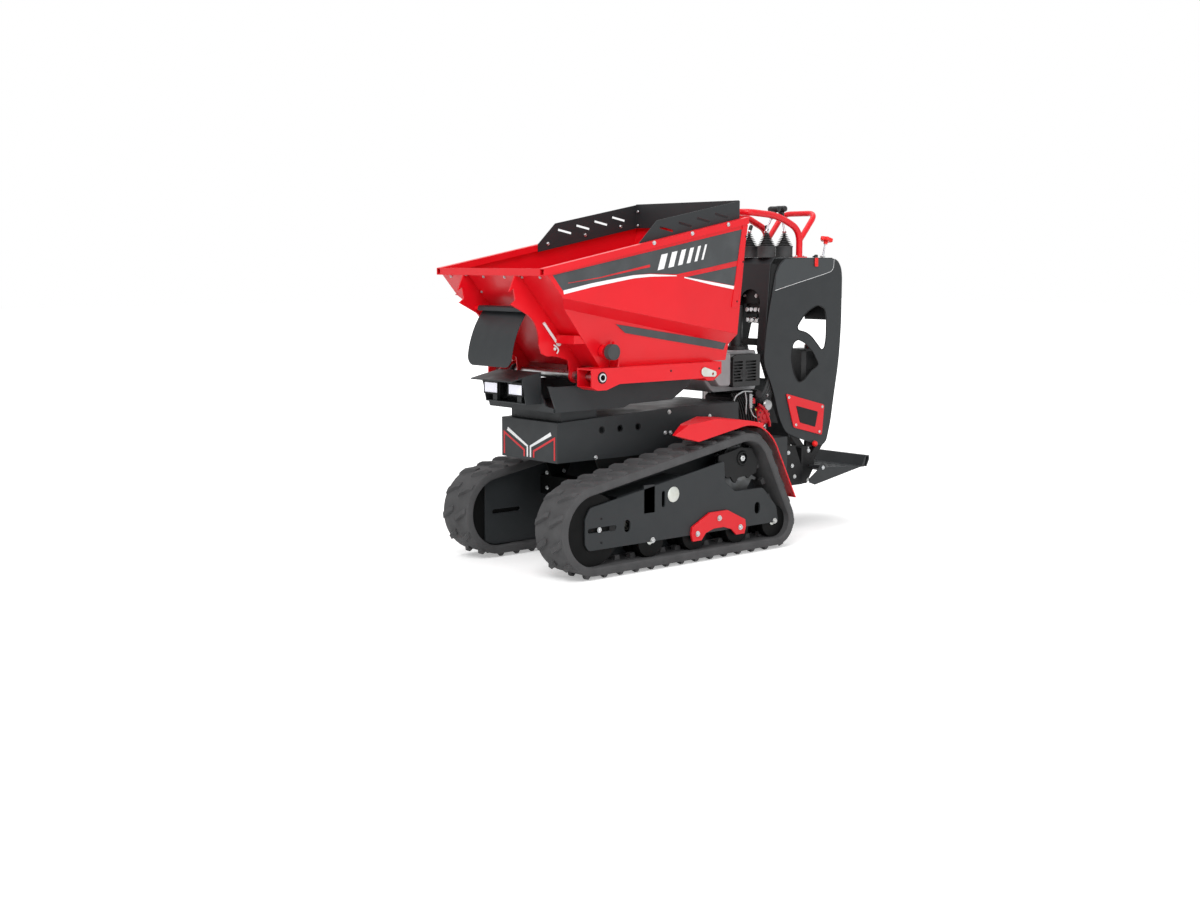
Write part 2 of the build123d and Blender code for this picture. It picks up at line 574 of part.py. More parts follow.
for name, s in SIDES:
    with BuildPart() as rail:
        with BuildSketch(upright(s * RAIL_OUT, s * RAIL_IN)):
            add(rail_side(RAIL_FRONT, 0))
        extrude(amount=RAIL_WIDE)
        with BuildSketch(upright(s * (RAIL_OUT - RAIL_WALL), s * (RAIL_IN + RAIL_WALL))):
            add(rail_side(RAIL_FRONT + 2 * RAIL_WALL, RAIL_WALL))
        extrude(amount=RAIL_WIDE - 2 * RAIL_WALL, mode=Mode.SUBTRACT)
        with BuildSketch(upright(s * RAIL_OUT, s * RAIL_IN)):
            with Locations((PIVOT_X, PIVOT_Z)):
                Circle(PIVOT_R)
        extrude(amount=RAIL_WIDE, mode=Mode.SUBTRACT)
    save(rail.part, f"{name}_skip_rail")

wall_top, wall_low = 1020, FLOOR_Z - GAP
stiffener_out = tub_half(738, 795)
with BuildPart() as ribs:
    for s in (1, -1):
        with BuildSketch(upright(s * RIB_OUT, s * (RIB_OUT - RIB_PLATE))):
            with BuildLine():
                # up the front wall, round both hooks, and down to the pivot
                Polyline((622, 690), (front_x(wall_low), wall_low), (front_x(wall_top), wall_top),
                         (LIP_X, LIP_Z - RIM_SQUARE - GAP), (930, 971), (912, 981), (904, 942), (925, 929),
                         (851, 892))
                ThreePointArc((851, 892), (817, 851), (806, 792))
                Polyline((806, 792), (795, 760), (772, 750), (745, 750), (725, 747), (678, 732), (672, 690),
                         (622, 690))
            make_face()
            with Locations((PIVOT_X, PIVOT_Z)):
                Circle(EAR_R)
                Circle(PIVOT_R, mode=Mode.SUBTRACT)
        extrude(amount=RIB_PLATE)
        # stiffener along the front wall, out to its edge
        with BuildSketch(upright(s * (RIB_OUT - 1), s * stiffener_out)):
            add(shape((front_x(795), 795), (738, 795), (738, 823), (front_x(823), 823)))
        extrude(amount=stiffener_out - RIB_OUT + 1)
    # bar between the ribs that carries the guard
    with BuildSketch(upright(RIB_OUT - 1)):
        add(shape((832, 905), (856, 905), (856, 917), (832, 917)))
    extrude(amount=2 * (RIB_OUT - 1))
save(ribs.part, "skip_ribs")

guard_top = 905 - GAP
with BuildPart() as guard:
    with BuildSketch(upright(GUARD_HALF)):
        with BuildLine():
            Polyline((907, 715), (907 - GUARD_THICK, 715))
            ThreePointArc((907 - GUARD_THICK, 715), (890, 800), (832, guard_top))
            Polyline((832, guard_top), (856, guard_top), (856, guard_top - GUARD_THICK),
                     (838, guard_top - GUARD_THICK))
            ThreePointArc((838, guard_top - GUARD_THICK), (893, 800), (907, 715))
        make_face()
    extrude(amount=2 * GUARD_HALF)
    # rounded lower corners
    with BuildSketch(across(0)):
        with Locations((0, 715 + 200)):
            RectangleRounded(2 * GUARD_HALF, 400, GUARD_CORNER)
    extrude(amount=2000, mode=Mode.INTERSECT)
save(guard.part, "front_guard")

eye_seat = FLOOR_Z - GAP
inner_y = ROD_R + 1
with BuildPart() as lug:
    for s in (1, -1):
        with BuildSketch(upright(s * (inner_y + LUG_PLATE), s * inner_y)):
            add(shape((CYL_EYE_X - EYE_R, CYL_EYE_Z), (CYL_EYE_X + EYE_R, CYL_EYE_Z),
                      (CYL_EYE_X + EYE_R + 8, eye_seat), (CYL_EYE_X - EYE_R - 8, eye_seat)))
            with Locations((CYL_EYE_X, CYL_EYE_Z)):
                Circle(EYE_R)
                Circle(CYL_PIN_R, mode=Mode.SUBTRACT)
        extrude(amount=LUG_PLATE)
save(lug.part, "cylinder_lug")

board_out = RIM_IN - GAP
board_back = REAR_X + RIM_SQUARE + GAP
rear_low, rear_top = rim_z(REAR_X) - 32, BOARD_REAR_Z


def board_top(x):
    """Height of the side boards' top edge at x, behind its knee."""
    return rear_top - 2 - (x - board_back) * BOARD_FALL


with BuildPart() as boards:
    for s in (1, -1):
        with BuildSketch(upright(s * board_out, s * (board_out - BOARD_THICK))):
            add(shape((BOARD_FRONT, rim_z(BOARD_FRONT) - 27), (BOARD_FRONT, rim_z(BOARD_FRONT) + 2),
                      (BOARD_KNEE, board_top(BOARD_KNEE)), (board_back, board_top(board_back)),
                      (board_back, rear_low)))
            for x in (SLAT_FRONT - i * SLAT_STEP for i in range(4)):
                with Locations((x, board_top(x) - SLAT_UNDER)):
                    Rectangle(SLAT_LONG, SLAT_HIGH, rotation=SLAT_TURN, mode=Mode.SUBTRACT)
        extrude(amount=BOARD_THICK)
    with BuildSketch(across(board_back)):
        rear_half = board_out - BOARD_THICK - GAP
        with Locations((0, (rear_low + rear_top) / 2)):
            Rectangle(2 * rear_half, rear_top - rear_low)
    extrude(amount=BOARD_THICK)
save(boards.part, "boards")

stop_seat = RAIL_OUT - 4
stop_in = stop_seat + GAP
with BuildPart() as stops:
    for s in (1, -1):
        with BuildSketch(upright(s * STOP_OUT, s * stop_in)):
            with Locations((STOP_X, STOP_Z)):
                Circle(STOP_R)
        extrude(amount=STOP_OUT - stop_in)
save(stops.part, "skip_stops")

with BuildPart() as fittings:
    # keeper plates at the rails' rear ends
    for s in (1, -1):
        keep_in = RAIL_OUT + GAP
        with BuildSketch(upright(s * (keep_in + 5), s * keep_in)):
            with Locations((167, 678)):
                Circle(17)
            with Locations((120, 669)):
                Circle(11)
            make_hull()
            with Locations((127, 669)):
                Circle(5, mode=Mode.SUBTRACT)
        extrude(amount=5)
    # gussets between the rails and the tub's sloping sides, each with its stop's plate
    for s in (1, -1):
        with BuildSketch(across(GUSSET_X)):
            low_y, high_y = (tub_half(GUSSET_X + GUSSET_THICK, z) + GAP for z in (FLOOR_Z, 800))
            add(shape((s * low_y, FLOOR_Z + GAP), (s * RAIL_OUT, FLOOR_Z + GAP), (s * (RAIL_OUT + 6), 740),
                      (s * (RAIL_OUT + 6), 790), (s * high_y, 800)))
        extrude(amount=GUSSET_THICK)
        with BuildSketch(upright(s * stop_seat, s * (stop_seat - GUSSET_THICK))):
            with Locations(((GUSSET_X + STOP_X + 30) / 2, STOP_Z)):
                Rectangle(STOP_X + 30 - GUSSET_X, 62)
        extrude(amount=GUSSET_THICK)
    # prop rod clipped to the left rib
    rod_y = RIB_OUT + GAP + LATCH_R
    foot, head = Vector(716, rod_y, 759), Vector(789, rod_y, 844)
    with BuildSketch(Plane(origin=foot, z_dir=head - foot)):
        Circle(LATCH_R)
    extrude(amount=(head - foot).length)
save(fittings.part, "skip_fittings")

# ---- tipping cylinder ----------------------------------------------------------------------
reach = hypot(CYL_EYE_X - CYL_BASE_X, CYL_EYE_Z - CYL_BASE_Z)
lean = degrees(atan2(CYL_EYE_Z - CYL_BASE_Z, CYL_EYE_X - CYL_BASE_X))
barrel_long = reach - EYE_R - 22
cylinder_plane = Plane(origin=(CYL_BASE_X, 0, CYL_BASE_Z),
                       x_dir=(cos(radians(lean)), 0, sin(radians(lean))), z_dir=(0, -1, 0))
cylinder_axis = Axis((CYL_BASE_X, 0, CYL_BASE_Z), cylinder_plane.x_dir)
bore_r = ROD_R + 0.5
with BuildPart() as barrel:
    with BuildSketch(cylinder_plane):
        add(shape((CYL_PIN_R + 4, 0), (CYL_PIN_R + 4, CYL_R), (barrel_long, CYL_R), (barrel_long, bore_r),
                  (CYL_PIN_R + 14, bore_r), (CYL_PIN_R + 14, 0)))
    revolve(axis=cylinder_axis)
    with BuildSketch(cylinder_plane.offset(-EYE_WIDE / 2)):
        Circle(EYE_R)
    extrude(amount=EYE_WIDE)
    with BuildSketch(cylinder_plane.offset(-CYL_R)):
        Circle(CYL_PIN_R + GAP)
    extrude(amount=2 * CYL_R, mode=Mode.SUBTRACT)
save(barrel.part, "cylinder_barrel")

with BuildPart() as rod:
    with BuildSketch(cylinder_plane):
        add(shape((40, 0), (40, ROD_R), (reach - 12, ROD_R), (reach - 12, 0)))
    revolve(axis=cylinder_axis)
    with BuildSketch(cylinder_plane.offset(-EYE_WIDE / 2 + 1)):
        with Locations((reach, 0)):
            Circle(EYE_R - 2)
    extrude(amount=EYE_WIDE - 2)
    with BuildSketch(cylinder_plane.offset(-EYE_WIDE)):
        with Locations((reach, 0)):
            Circle(CYL_PIN_R + GAP)
    extrude(amount=2 * EYE_WIDE, mode=Mode.SUBTRACT)
save(rod.part, "cylinder_rod")

# ---- power pack ----------------------------------------------------------------------------
engine_low = BAY_Z + GAP
tank_low = engine_low + ENGINE_HIGH + GAP
tank_top = tank_low + TANK_HIGH
with BuildPart() as engine:
    with BuildSketch(Plane.XY.offset(engine_low)):
        with Locations(((ENGINE_FRONT + ENGINE_REAR) / 2, 0)):
            Rectangle(ENGINE_FRONT - ENGINE_REAR, 2 * ENGINE_HALF)
    extrude(amount=ENGINE_HIGH)
save(engine.part, "engine_block")

with BuildPart() as tank:
    with BuildSketch(Plane.XY.offset(tank_low)):
        with Locations(((TANK_FRONT + TANK_REAR) / 2, (TANK_LEFT + TANK_RIGHT) / 2)):
            Rectangle(TANK_FRONT - TANK_REAR, TANK_LEFT - TANK_RIGHT)
    extrude(amount=TANK_HIGH)
    chamfer(tank.edges().filter_by(Axis.Z), length=12)
save(tank.part, "hydraulic_tank")

with BuildPart() as return_filter:
    for r, low, high in ((50, tank_top + GAP, tank_top + FLANGE_HIGH),
                         (FILTER_R, tank_top + FLANGE_HIGH, tank_top + FILTER_HIGH)):
        with BuildSketch(Plane.XY.offset(low)):
            with Locations((FILTER_X, 0)):
                Circle(r)
        extrude(amount=high - low)
save(return_filter.part, "return_filter")

with BuildPart() as cover:
    with BuildSketch(upright(COVER_OUT)):
        with Locations(((COVER_FRONT + COVER_REAR) / 2, (COVER_LOW + COVER_TOP) / 2)):
            Rectangle(COVER_FRONT - COVER_REAR, COVER_TOP - COVER_LOW)
    extrude(amount=COVER_OUT - TANK_LEFT - GAP)
    # two columns of louvres
    with BuildSketch(upright(COVER_OUT)):
        with Locations(((COVER_FRONT + COVER_REAR) / 2, (COVER_LOW + COVER_TOP) / 2)):
            with GridLocations(LOUVRE_LONG + 14, LOUVRE_STEP, 2, 7):
                Rectangle(LOUVRE_LONG, LOUVRE_HIGH)
    extrude(amount=LOUVRE_DEEP, mode=Mode.SUBTRACT)
save(cover.part, "engine_cover")

with BuildPart() as valves:
    with BuildSketch(Plane.XY.offset(835)):
        with Locations((-418, 0)):
            Rectangle(64, 90)
    extrude(amount=110)
    # hanger up to the cowl's top
    for y in (-30, 30):
        with BuildSketch(Plane.XY.offset(945)):
            with Locations((-420, y)):
                Rectangle(30, SHEET)
        extrude(amount=CONSOLE_TOP - SHEET - GAP - 945)
save(valves.part, "valve_block")

# ---- console -------------------------------------------------------------------------------
FRONT_TOP, FRONT_MID, FRONT_LOW = (-378, 1060), (-351, 728), (-502, 376)
for name, s in SIDES:
    with BuildPart() as panel:
        with BuildSketch(upright(s * CONSOLE_HALF, s * (CONSOLE_HALF - SHEET))):
            add(shape(FRONT_TOP, FRONT_MID, FRONT_LOW, (-718, 348), (-783, 671), (-799, 955), (-797, 1035),
                      (-722, CONSOLE_TOP), (-400, CONSOLE_TOP)))
            if s > 0:
                # two openings, with a curved band between them
                with BuildLine():
                    Line((-533, 820), (-655, 897))
                    ThreePointArc((-655, 897), (-690, 896), (-704, 868))
                    Line((-704, 868), (-702, 740))
                    ThreePointArc((-702, 740), (-610, 756), (-533, 820))
                make_face(mode=Mode.SUBTRACT)
                with BuildLine():
                    ThreePointArc((-489, 723), (-580, 690), (-673, 684))
                    Polyline((-673, 684), (-640, 640), (-556, 589), (-489, 723))
                make_face(mode=Mode.SUBTRACT)
            else:
                # one opening through the rear edge
                add(shape((-455, 880), (-820, 880), (-820, 600), (-520, 600), (-440, 720)),
                    mode=Mode.SUBTRACT)
        extrude(amount=SHEET)
    save(panel.part, f"{name}_console_panel")

with BuildPart() as cowl:
    with BuildSketch(upright(CONSOLE_IN)):
        t = SHEET
        add(shape((-742, CONSOLE_TOP), (-400, CONSOLE_TOP), FRONT_TOP, FRONT_MID, FRONT_LOW,
                  (FRONT_LOW[0] - t, FRONT_LOW[1]), (FRONT_MID[0] - t, FRONT_MID[1]),
                  (FRONT_TOP[0] - t, FRONT_TOP[1] - 1), (-402, CONSOLE_TOP - t), (-742, CONSOLE_TOP - t)))
    extrude(amount=2 * CONSOLE_IN)
    # arched opening in the front sheet
    with BuildSketch(across(-600)):
        with Locations((0, (ARCH_TOP - ARCH_HALF + ARCH_LOW) / 2)):
            Rectangle(2 * ARCH_HALF, ARCH_TOP - ARCH_HALF - ARCH_LOW)
        with Locations((0, ARCH_TOP - ARCH_HALF)):
            Circle(ARCH_HALF)
    extrude(amount=300, mode=Mode.SUBTRACT)
save(cowl.part, "console_cowl")

with BuildPart() as console_frame:
    tube_in = CONSOLE_IN - TUBE
    for s in (1, -1):
        for run in (((-400, 1060), (-374, 732), (-520, 390), (-604, 298)), ((-708, 358), (-634, 276))):
            with BuildSketch(upright(s * CONSOLE_IN, s * tube_in)):
                with BuildLine():
                    Polyline(*run)
                trace(line_width=TUBE)
            extrude(amount=TUBE)
    # cross tubes
    with BuildSketch(upright(CONSOLE_IN)):
        with Locations((-376, 756), (-590, 313)):
            Rectangle(TUBE - 4, TUBE - 4)
    extrude(amount=2 * CONSOLE_IN)
    # shelf between the side panels for the oil canister
    with BuildSketch(upright(CONSOLE_IN)):
        with Locations((-678, 576)):
            Rectangle(140, SHEET)
    extrude(amount=2 * CONSOLE_IN)
save(console_frame.part, "console_frame")

with BuildPart() as canister:
    with BuildSketch(Plane.XY.offset(578 + GAP)):
        with Locations((-678.5, 0)):
            Rectangle(115, 120)
    extrude(amount=140)
    chamfer(canister.edges().filter_by(Axis.Z), length=14)
    chamfer(canister.faces().sort_by(Axis.Z)[-1].edges(), length=8)
    with BuildSketch(Plane.XY.offset(578 + 140)):
        with Locations((-690, 24)):
            Circle(19)
    extrude(amount=16)
save(canister.part, "oil_canister")

with BuildPart() as badges:
    badge_in = CONSOLE_HALF + GAP
    for s in (1, -1):
        with BuildSketch(upright(s * (badge_in + SHEET), s * badge_in)):
            add(shape((-481, 549), (-696, 496), (-675, 371), (-531, 414)))
        extrude(amount=SHEET)
save(badges.part, "side_badges")

def bent(corners):
    """The handlebar's route through these corners, each bend made as a short straight."""
    route = [Vector(*corners[0])]
    for before, corner, after in zip(corners, corners[1:], corners[2:]):
        for leg in (before, after):
            route.append(Vector(*corner) + (Vector(*leg) - Vector(*corner)).normalized() * BAR_BEND)
    return route + [Vector(*corners[-1])]


with BuildPart() as handlebar:
    for r, path_points in (
            (BAR_R, ((-545, CONSOLE_TOP + GAP), (-545, 1190), (-427, 1246), (-262, 1258))),
            (REST_R, ((-545, 1150), (-645, 1257)))):
        ends = [(x, BAR_Y, z) for x, z in path_points]
        ends += [(x, -BAR_Y, z) for x, z in reversed(path_points)]
        with BuildLine() as path:
            Polyline(*bent(ends))
        with BuildSketch(Plane(origin=path.line @ 0, z_dir=path.line % 0)):
            Circle(r)
        sweep(path=path.line, transition=Transition.RIGHT)
    for s in (1, -1):
        with BuildSketch(Plane.XY.offset(CONSOLE_TOP + GAP)):
            with Locations((-558, s * BAR_Y)):
                Rectangle(48, 22)
        extrude(amount=SHEET)
save(handlebar.part, "handlebar")

BOOT_PLACES = tuple((x, y) for x in (-407, -510) for y in (46, -46))
boot_low = CONSOLE_TOP + GAP
with BuildPart() as boots:
    for x, y in BOOT_PLACES:
        with BuildSketch(Plane.XY.offset(boot_low)):
            with Locations((x, y)):
                RegularPolygon(BOOT_R, BOOT_SIDES)
        extrude(amount=BOOT_HIGH)
        with BuildSketch(Plane.XY.offset(boot_low + BOOT_HIGH)):
            with Locations((x, y)):
                RegularPolygon(BOOT_R, BOOT_SIDES)
        extrude(amount=BOOT_CONE, taper=BOOT_TAPER)
save(boots.part, "lever_boots")

boot_top = boot_low + BOOT_HIGH + BOOT_CONE
lever_top = 1268
with BuildPart() as levers:
    for x, y in BOOT_PLACES:
        with BuildSketch(Plane.XY.offset(boot_top + GAP)):
            with Locations((x, y)):
                Circle(LEVER_R)
        extrude(amount=lever_top - boot_top - GAP)
save(levers.part, "control_levers")

with BuildPart() as knobs:
    # grips across the tops of the levers
    for x, y in BOOT_PLACES:
        with BuildSketch(upright(y + 19)):
            with Locations((x, lever_top + GAP + 9)):
                Circle(9)
        extrude(amount=38)
    # throttle, and a pull knob on the top plate
    for x, y, high in ((-661, 80, 12), (-700, 80, 70)):
        with BuildSketch(Plane.XY.offset(CONSOLE_TOP + GAP)):
            with Locations((x, y)):
                Circle(8)
        extrude(amount=high)
    # ball on the left side panel
    with BuildSketch(upright(CONSOLE_HALF + GAP + 18)):
        with Locations((-628, 366)):
            Circle(12)
    extrude(amount=18)
save(knobs.part, "control_knobs")

# ---- rear bracket and platform -------------------------------------------------------------
plate_rear = -538
bracket_front = BOX_REAR - GAP
with BuildPart() as bracket:
    for s in (1, -1):
        with BuildSketch(upright(s * BRACKET_HALF, s * (BRACKET_HALF - BRACKET_PLATE))):
            add(shape((bracket_front, 186), (bracket_front, 337), (-460, 349), (-500, 344),
                      (plate_rear, 263), (plate_rear, 186)))
        extrude(amount=BRACKET_PLATE)
        # arm beside the console's frame, with the platform's hinge through it
        arm_in = CONSOLE_IN + GAP
        with BuildSketch(upright(s * (arm_in + BRACKET_PLATE), s * arm_in)):
            add(shape((plate_rear, 190), (plate_rear, 333), (-600, 333), (-640, 285), (-645, 262),
                      (-640, 240), (-600, 182), (-560, 182)))
            with Locations((HINGE_X, HINGE_Z)):
                Circle(HINGE_R + GAP, mode=Mode.SUBTRACT)
        extrude(amount=BRACKET_PLATE)
    # plates across, on the chassis and behind the side plates
    for x, low, high in ((bracket_front - BRACKET_PLATE, 186, 337), (plate_rear - BRACKET_PLATE, 186, 333)):
        with BuildSketch(across(x)):
            with Locations((0, (low + high) / 2)):
                Rectangle(2 * BRACKET_HALF, high - low)
        extrude(amount=BRACKET_PLATE)
save(bracket.part, "rear_bracket")

skirt_in = STEP_HALF - STEP_SHEET
floor_low = STEP_Z - STEP_SHEET
with BuildPart() as step:
    # floor, bent up and over into an open edge along the rear
    with BuildSketch(upright(STEP_HALF)):
        add(shape((STEP_FRONT, floor_low), (STEP_FRONT, STEP_Z), (STEP_REAR + 4, STEP_Z), (-885, 278),
                  (-907, 277), (-908, 260), (-893, floor_low), (-887, floor_low), (-903, 261),
                  (-903, 272), (-889, 273), (-877, floor_low)))
    extrude(amount=2 * STEP_HALF)
    # side skirts that reach forward round the hinge
    for s in (1, -1):
        with BuildSketch(upright(s * STEP_HALF, s * skirt_in)):
            add(shape((-545, 196), (-577, 185), (-852, floor_low), (STEP_REAR + 8, STEP_Z), (-640, 250),
                      (-636, 262), (-621, 267), (-606, 262), (-590, 240), (-545, 212)))
        extrude(amount=STEP_SHEET)
    # hinge rod
    with BuildSketch(upright(skirt_in + 1)):
        with Locations((HINGE_X, HINGE_Z)):
            Circle(HINGE_R)
    extrude(amount=2 * (skirt_in + 1))
save(step.part, "foot_platform")
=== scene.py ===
"""Looks of the tracked mini site dumper: finishes, small parts, decals without words, stage, camera."""
import bpy
import bmesh
from math import asin, atan2, cos, hypot, pi, radians, sin
from mathutils import Matrix, Vector


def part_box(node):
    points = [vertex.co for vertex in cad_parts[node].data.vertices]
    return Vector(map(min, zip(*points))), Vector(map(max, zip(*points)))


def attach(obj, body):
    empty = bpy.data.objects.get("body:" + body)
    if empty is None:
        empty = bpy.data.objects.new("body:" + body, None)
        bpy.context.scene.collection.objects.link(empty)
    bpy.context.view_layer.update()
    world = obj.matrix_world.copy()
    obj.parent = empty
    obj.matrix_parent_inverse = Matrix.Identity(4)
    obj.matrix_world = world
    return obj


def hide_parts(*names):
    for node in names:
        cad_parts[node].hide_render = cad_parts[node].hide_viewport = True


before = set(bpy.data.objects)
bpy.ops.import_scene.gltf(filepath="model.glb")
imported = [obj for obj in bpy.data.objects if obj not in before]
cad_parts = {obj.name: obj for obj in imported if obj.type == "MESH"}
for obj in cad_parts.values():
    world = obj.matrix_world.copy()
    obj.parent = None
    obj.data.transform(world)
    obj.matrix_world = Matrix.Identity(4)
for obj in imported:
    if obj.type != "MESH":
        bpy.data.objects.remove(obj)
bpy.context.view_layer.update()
MM = 0.001               # sizes of pieces are in millimetres
SIDES = (("left", 1), ("right", -1))


# ---- materials ----
def srgb(r, g, b):
    """Linear colour of an 8-bit display colour."""
    channels = (r / 255, g / 255, b / 255)
    return tuple(c / 12.92 if c < 0.04045 else ((c + 0.055) / 1.055) ** 2.4 for c in channels) + (1.0,)


def fill(tree, node, **values):
    """Sets a node's properties and inputs, these by identifier or by name with _ for spaces."""
    sockets = {socket.identifier: socket for socket in node.inputs}
    for key, value in values.items():
        if hasattr(node, key):
            setattr(node, key, value)
            continue
        socket = sockets.get(key) or node.inputs[key.replace("_", " ")]
        if isinstance(value, bpy.types.NodeSocket):
            tree.links.new(value, socket)
        else:
            socket.default_value = value
    return node


def add_node(tree, kind, out=0, **values):
    """Adds a shader node and returns one of its outputs."""
    made = fill(tree, tree.nodes.new(f"ShaderNode{kind}"), **values)
    return made.outputs[out] if made.outputs else made


class Finish:
    """A node material on object coordinates: colour drift, a painted highlight along edges, bump and
    roughness detail.
    """

    def __init__(self, name, colour, rough, metal=0.0, **inputs):
        self.material = bpy.data.materials.new(name)
        self.material.use_nodes = True
        self.tree = self.material.node_tree
        self.base, self.normal = srgb(*colour), None
        self.place = self.node("TexCoord", "Object")
        self.set(Base_Color=self.base, Roughness=rough, Metallic=metal, **inputs)

    def set(self, **inputs):
        fill(self.tree, self.tree.nodes["Principled BSDF"], **inputs)

    def node(self, kind, out=0, **values):
        return add_node(self.tree, kind, out, **values)

    def noise(self, scale, detail, stretch=(1, 1, 1)):
        """Noise value over the piece; scale is in features a metre."""
        place = self.node("Mapping", Vector=self.place, Scale=stretch)
        return self.node("TexNoise", Vector=place, Scale=scale, Detail=detail)

    def ramp(self, value, low, high, to_low=0.0, to_high=1.0):
        return self.node("MapRange", Value=value, From_Min=low, From_Max=high, To_Min=to_low, To_Max=to_high)

    def tint(self, factor, colour):
        """Blends a colour over what the base colour holds so far."""
        self.base = self.node("Mix", 2, data_type="RGBA", Factor_Float=factor, A_Color=self.base,
            B_Color=colour)
        self.set(Base_Color=self.base)

    def roughen(self, value, low, high):
        self.set(Roughness=self.ramp(value, 0.3, 0.7, low, high))

    def bend(self, normal):
        self.normal = normal
        self.set(Normal=normal)

    def bump(self, value, strength, deep):
        under = {"Normal": self.normal} if self.normal else {}
        self.bend(self.node("Bump", Strength=strength, Distance=deep, Height=value, **under))

    def soften(self, radius):
        """Shades sharp edges as if they had this radius."""
        self.bend(self.node("Bevel", samples=4, Radius=radius))

    def edges(self, radius, colour, strength):
        """Painted highlight along sharp edges: a line of the given colour, broken up by noise."""
        bevel = self.node("Bevel", samples=4, Radius=radius)
        normal = self.node("NewGeometry", "True Normal")
        dot = self.node("VectorMath", "Value", operation="DOT_PRODUCT", Vector=bevel, Vector_001=normal)
        line, gaps = self.ramp(dot, 0.985, 0.8, 0.0, strength), self.ramp(self.noise(60, 4), 0.35, 0.65)
        self.tint(self.node("Math", operation="MULTIPLY", Value=line, Value_001=gaps), colour)


def paint(name, colour, rough, edge, coat=0.0, shine=0.3):
    """Powder coat: slight colour drift, orange peel, soft edges with a painted highlight along them."""
    made = Finish(name, colour, rough, Coat_Weight=coat, Coat_Roughness=0.12, Specular_IOR_Level=shine)
    darker = tuple(0.80 * c for c in made.base[:3]) + (1.0,)
    made.tint(made.ramp(made.noise(5, 4), 0.35, 0.7, 0.0, 0.35), darker)
    # painted highlight: the edge colour laid along sharp edges
    made.edges(0.0012, srgb(*edge), 0.35)
    made.soften(0.0012)
    made.bump(made.noise(420, 2), 0.12, 0.0006)
    made.bump(made.noise(2600, 1), 0.06, 0.0002)
    made.roughen(made.noise(18, 4), rough - 0.05, rough + 0.07)
    return made.material


def moulded(name, colour, rough, grain, deep=0.0003):
    """Moulded rubber or plastic: fine grain, faint bloom and soft edges."""
    made = Finish(name, colour, rough, Specular_IOR_Level=0.3)
    paler = tuple(min(1.0, 1.5 * c + 0.01) for c in made.base[:3]) + (1.0,)
    made.tint(made.ramp(made.noise(14, 5), 0.4, 0.75, 0.0, 0.5), paler)
    made.soften(0.0015)
    made.bump(made.noise(grain, 3), 0.35, deep)
    made.bump(made.noise(45, 3), 0.15, 0.0012)
    made.roughen(made.noise(30, 4), rough - 0.08, rough + 0.08)
    return made.material


def metal(name, colour, rough, brushed=(1, 1, 1), drift=(0.75, 0.72, 0.62)):
    """Bare or plated metal with fine brushing and a drift in tone."""
    made = Finish(name, colour, rough, 1.0)
    duller = tuple(a * b for a, b in zip(made.base, drift)) + (1.0,)
    made.tint(made.ramp(made.noise(35, 4), 0.4, 0.7, 0.0, 0.5), duller)
    made.soften(0.0006)
    made.bump(made.noise(900, 2, brushed), 0.12, 0.0002)
    made.roughen(made.noise(50, 3, brushed), rough - 0.06, rough + 0.12)
    return made.material


# the fourth colour of each paint is the colour of its painted edge highlight
RED = paint("red_powder_coat", (222, 12, 28), 0.36, (236, 60, 64), coat=0.12)
DARK = paint("dark_powder_coat", (43, 46, 48), 0.46, (78, 81, 83), shine=0.25)
DEEP = paint("black_powder_coat", (18, 19, 20), 0.48, (56, 58, 60), shine=0.2)
# black wheels and beams, painted darker than the black powder coat as painted shade
PAINTED_SHADE_BLACK = paint("wheel_black_painted_shade", (9, 10, 10), 0.6, (40, 40, 41), shine=0.12)
FILM = paint("console_film", (58, 62, 64), 0.4, (70, 73, 75))
WHITE_PAINT = paint("white_paint", (225, 226, 226), 0.4, (180, 180, 180))
RUBBER = moulded("track_rubber", (70, 70, 71), 0.78, 900, 0.0005)
SOFT_RUBBER = moulded("bellows_rubber", (56, 57, 58), 0.62, 1800)
PLASTIC = moulded("black_plastic", (34, 35, 36), 0.42, 2200)
GREY_PLASTIC = moulded("grey_plastic", (150, 151, 153), 0.5, 2000)
RED_PLASTIC = moulded("red_plastic", (226, 30, 26), 0.34, 2600, 0.0001)
# the red plastic darkened as painted shade, for the starter shroud
PAINTED_SHADE_RED = moulded("shroud_red_painted_shade", (176, 10, 26), 0.34, 2600, 0.0001)
DECAL_DARK = moulded("decal_film_dark", (62, 65, 67), 0.4, 3000, 0.0001)
DECAL_WHITE = moulded("decal_film_white", (238, 239, 240), 0.36, 3000, 0.0001)
DECAL_RED = moulded("decal_film_red", (200, 34, 40), 0.36, 3000, 0.0001)
ZINC = metal("zinc_plate", (196, 198, 200), 0.3)
KEEPER = metal("keeper_steel", (200, 204, 200), 0.42, (1, 1, 18))
PIPE_GREY = metal("pipe_grey", (150, 151, 153), 0.3)
CHROME = metal("hard_chrome", (214, 216, 220), 0.12, (1, 1, 1), (0.95, 0.95, 0.96))
CAST = metal("cast_block", (96, 98, 100), 0.5)
CAST_DARK = metal("cast_dark", (52, 50, 52), 0.55)
BRASS = metal("brass", (190, 160, 80), 0.35)

lens = Finish("lamp_lens", (244, 244, 250), 0.12, Emission_Strength=0.35, Emission_Color=srgb(240, 240, 255))
lens.tint(lens.ramp(lens.noise(160, 1), 0.45, 0.6, 0.0, 0.25), srgb(205, 205, 232))
lens.bump(lens.noise(220, 1), 0.3, 0.0006)
LENS = lens.material

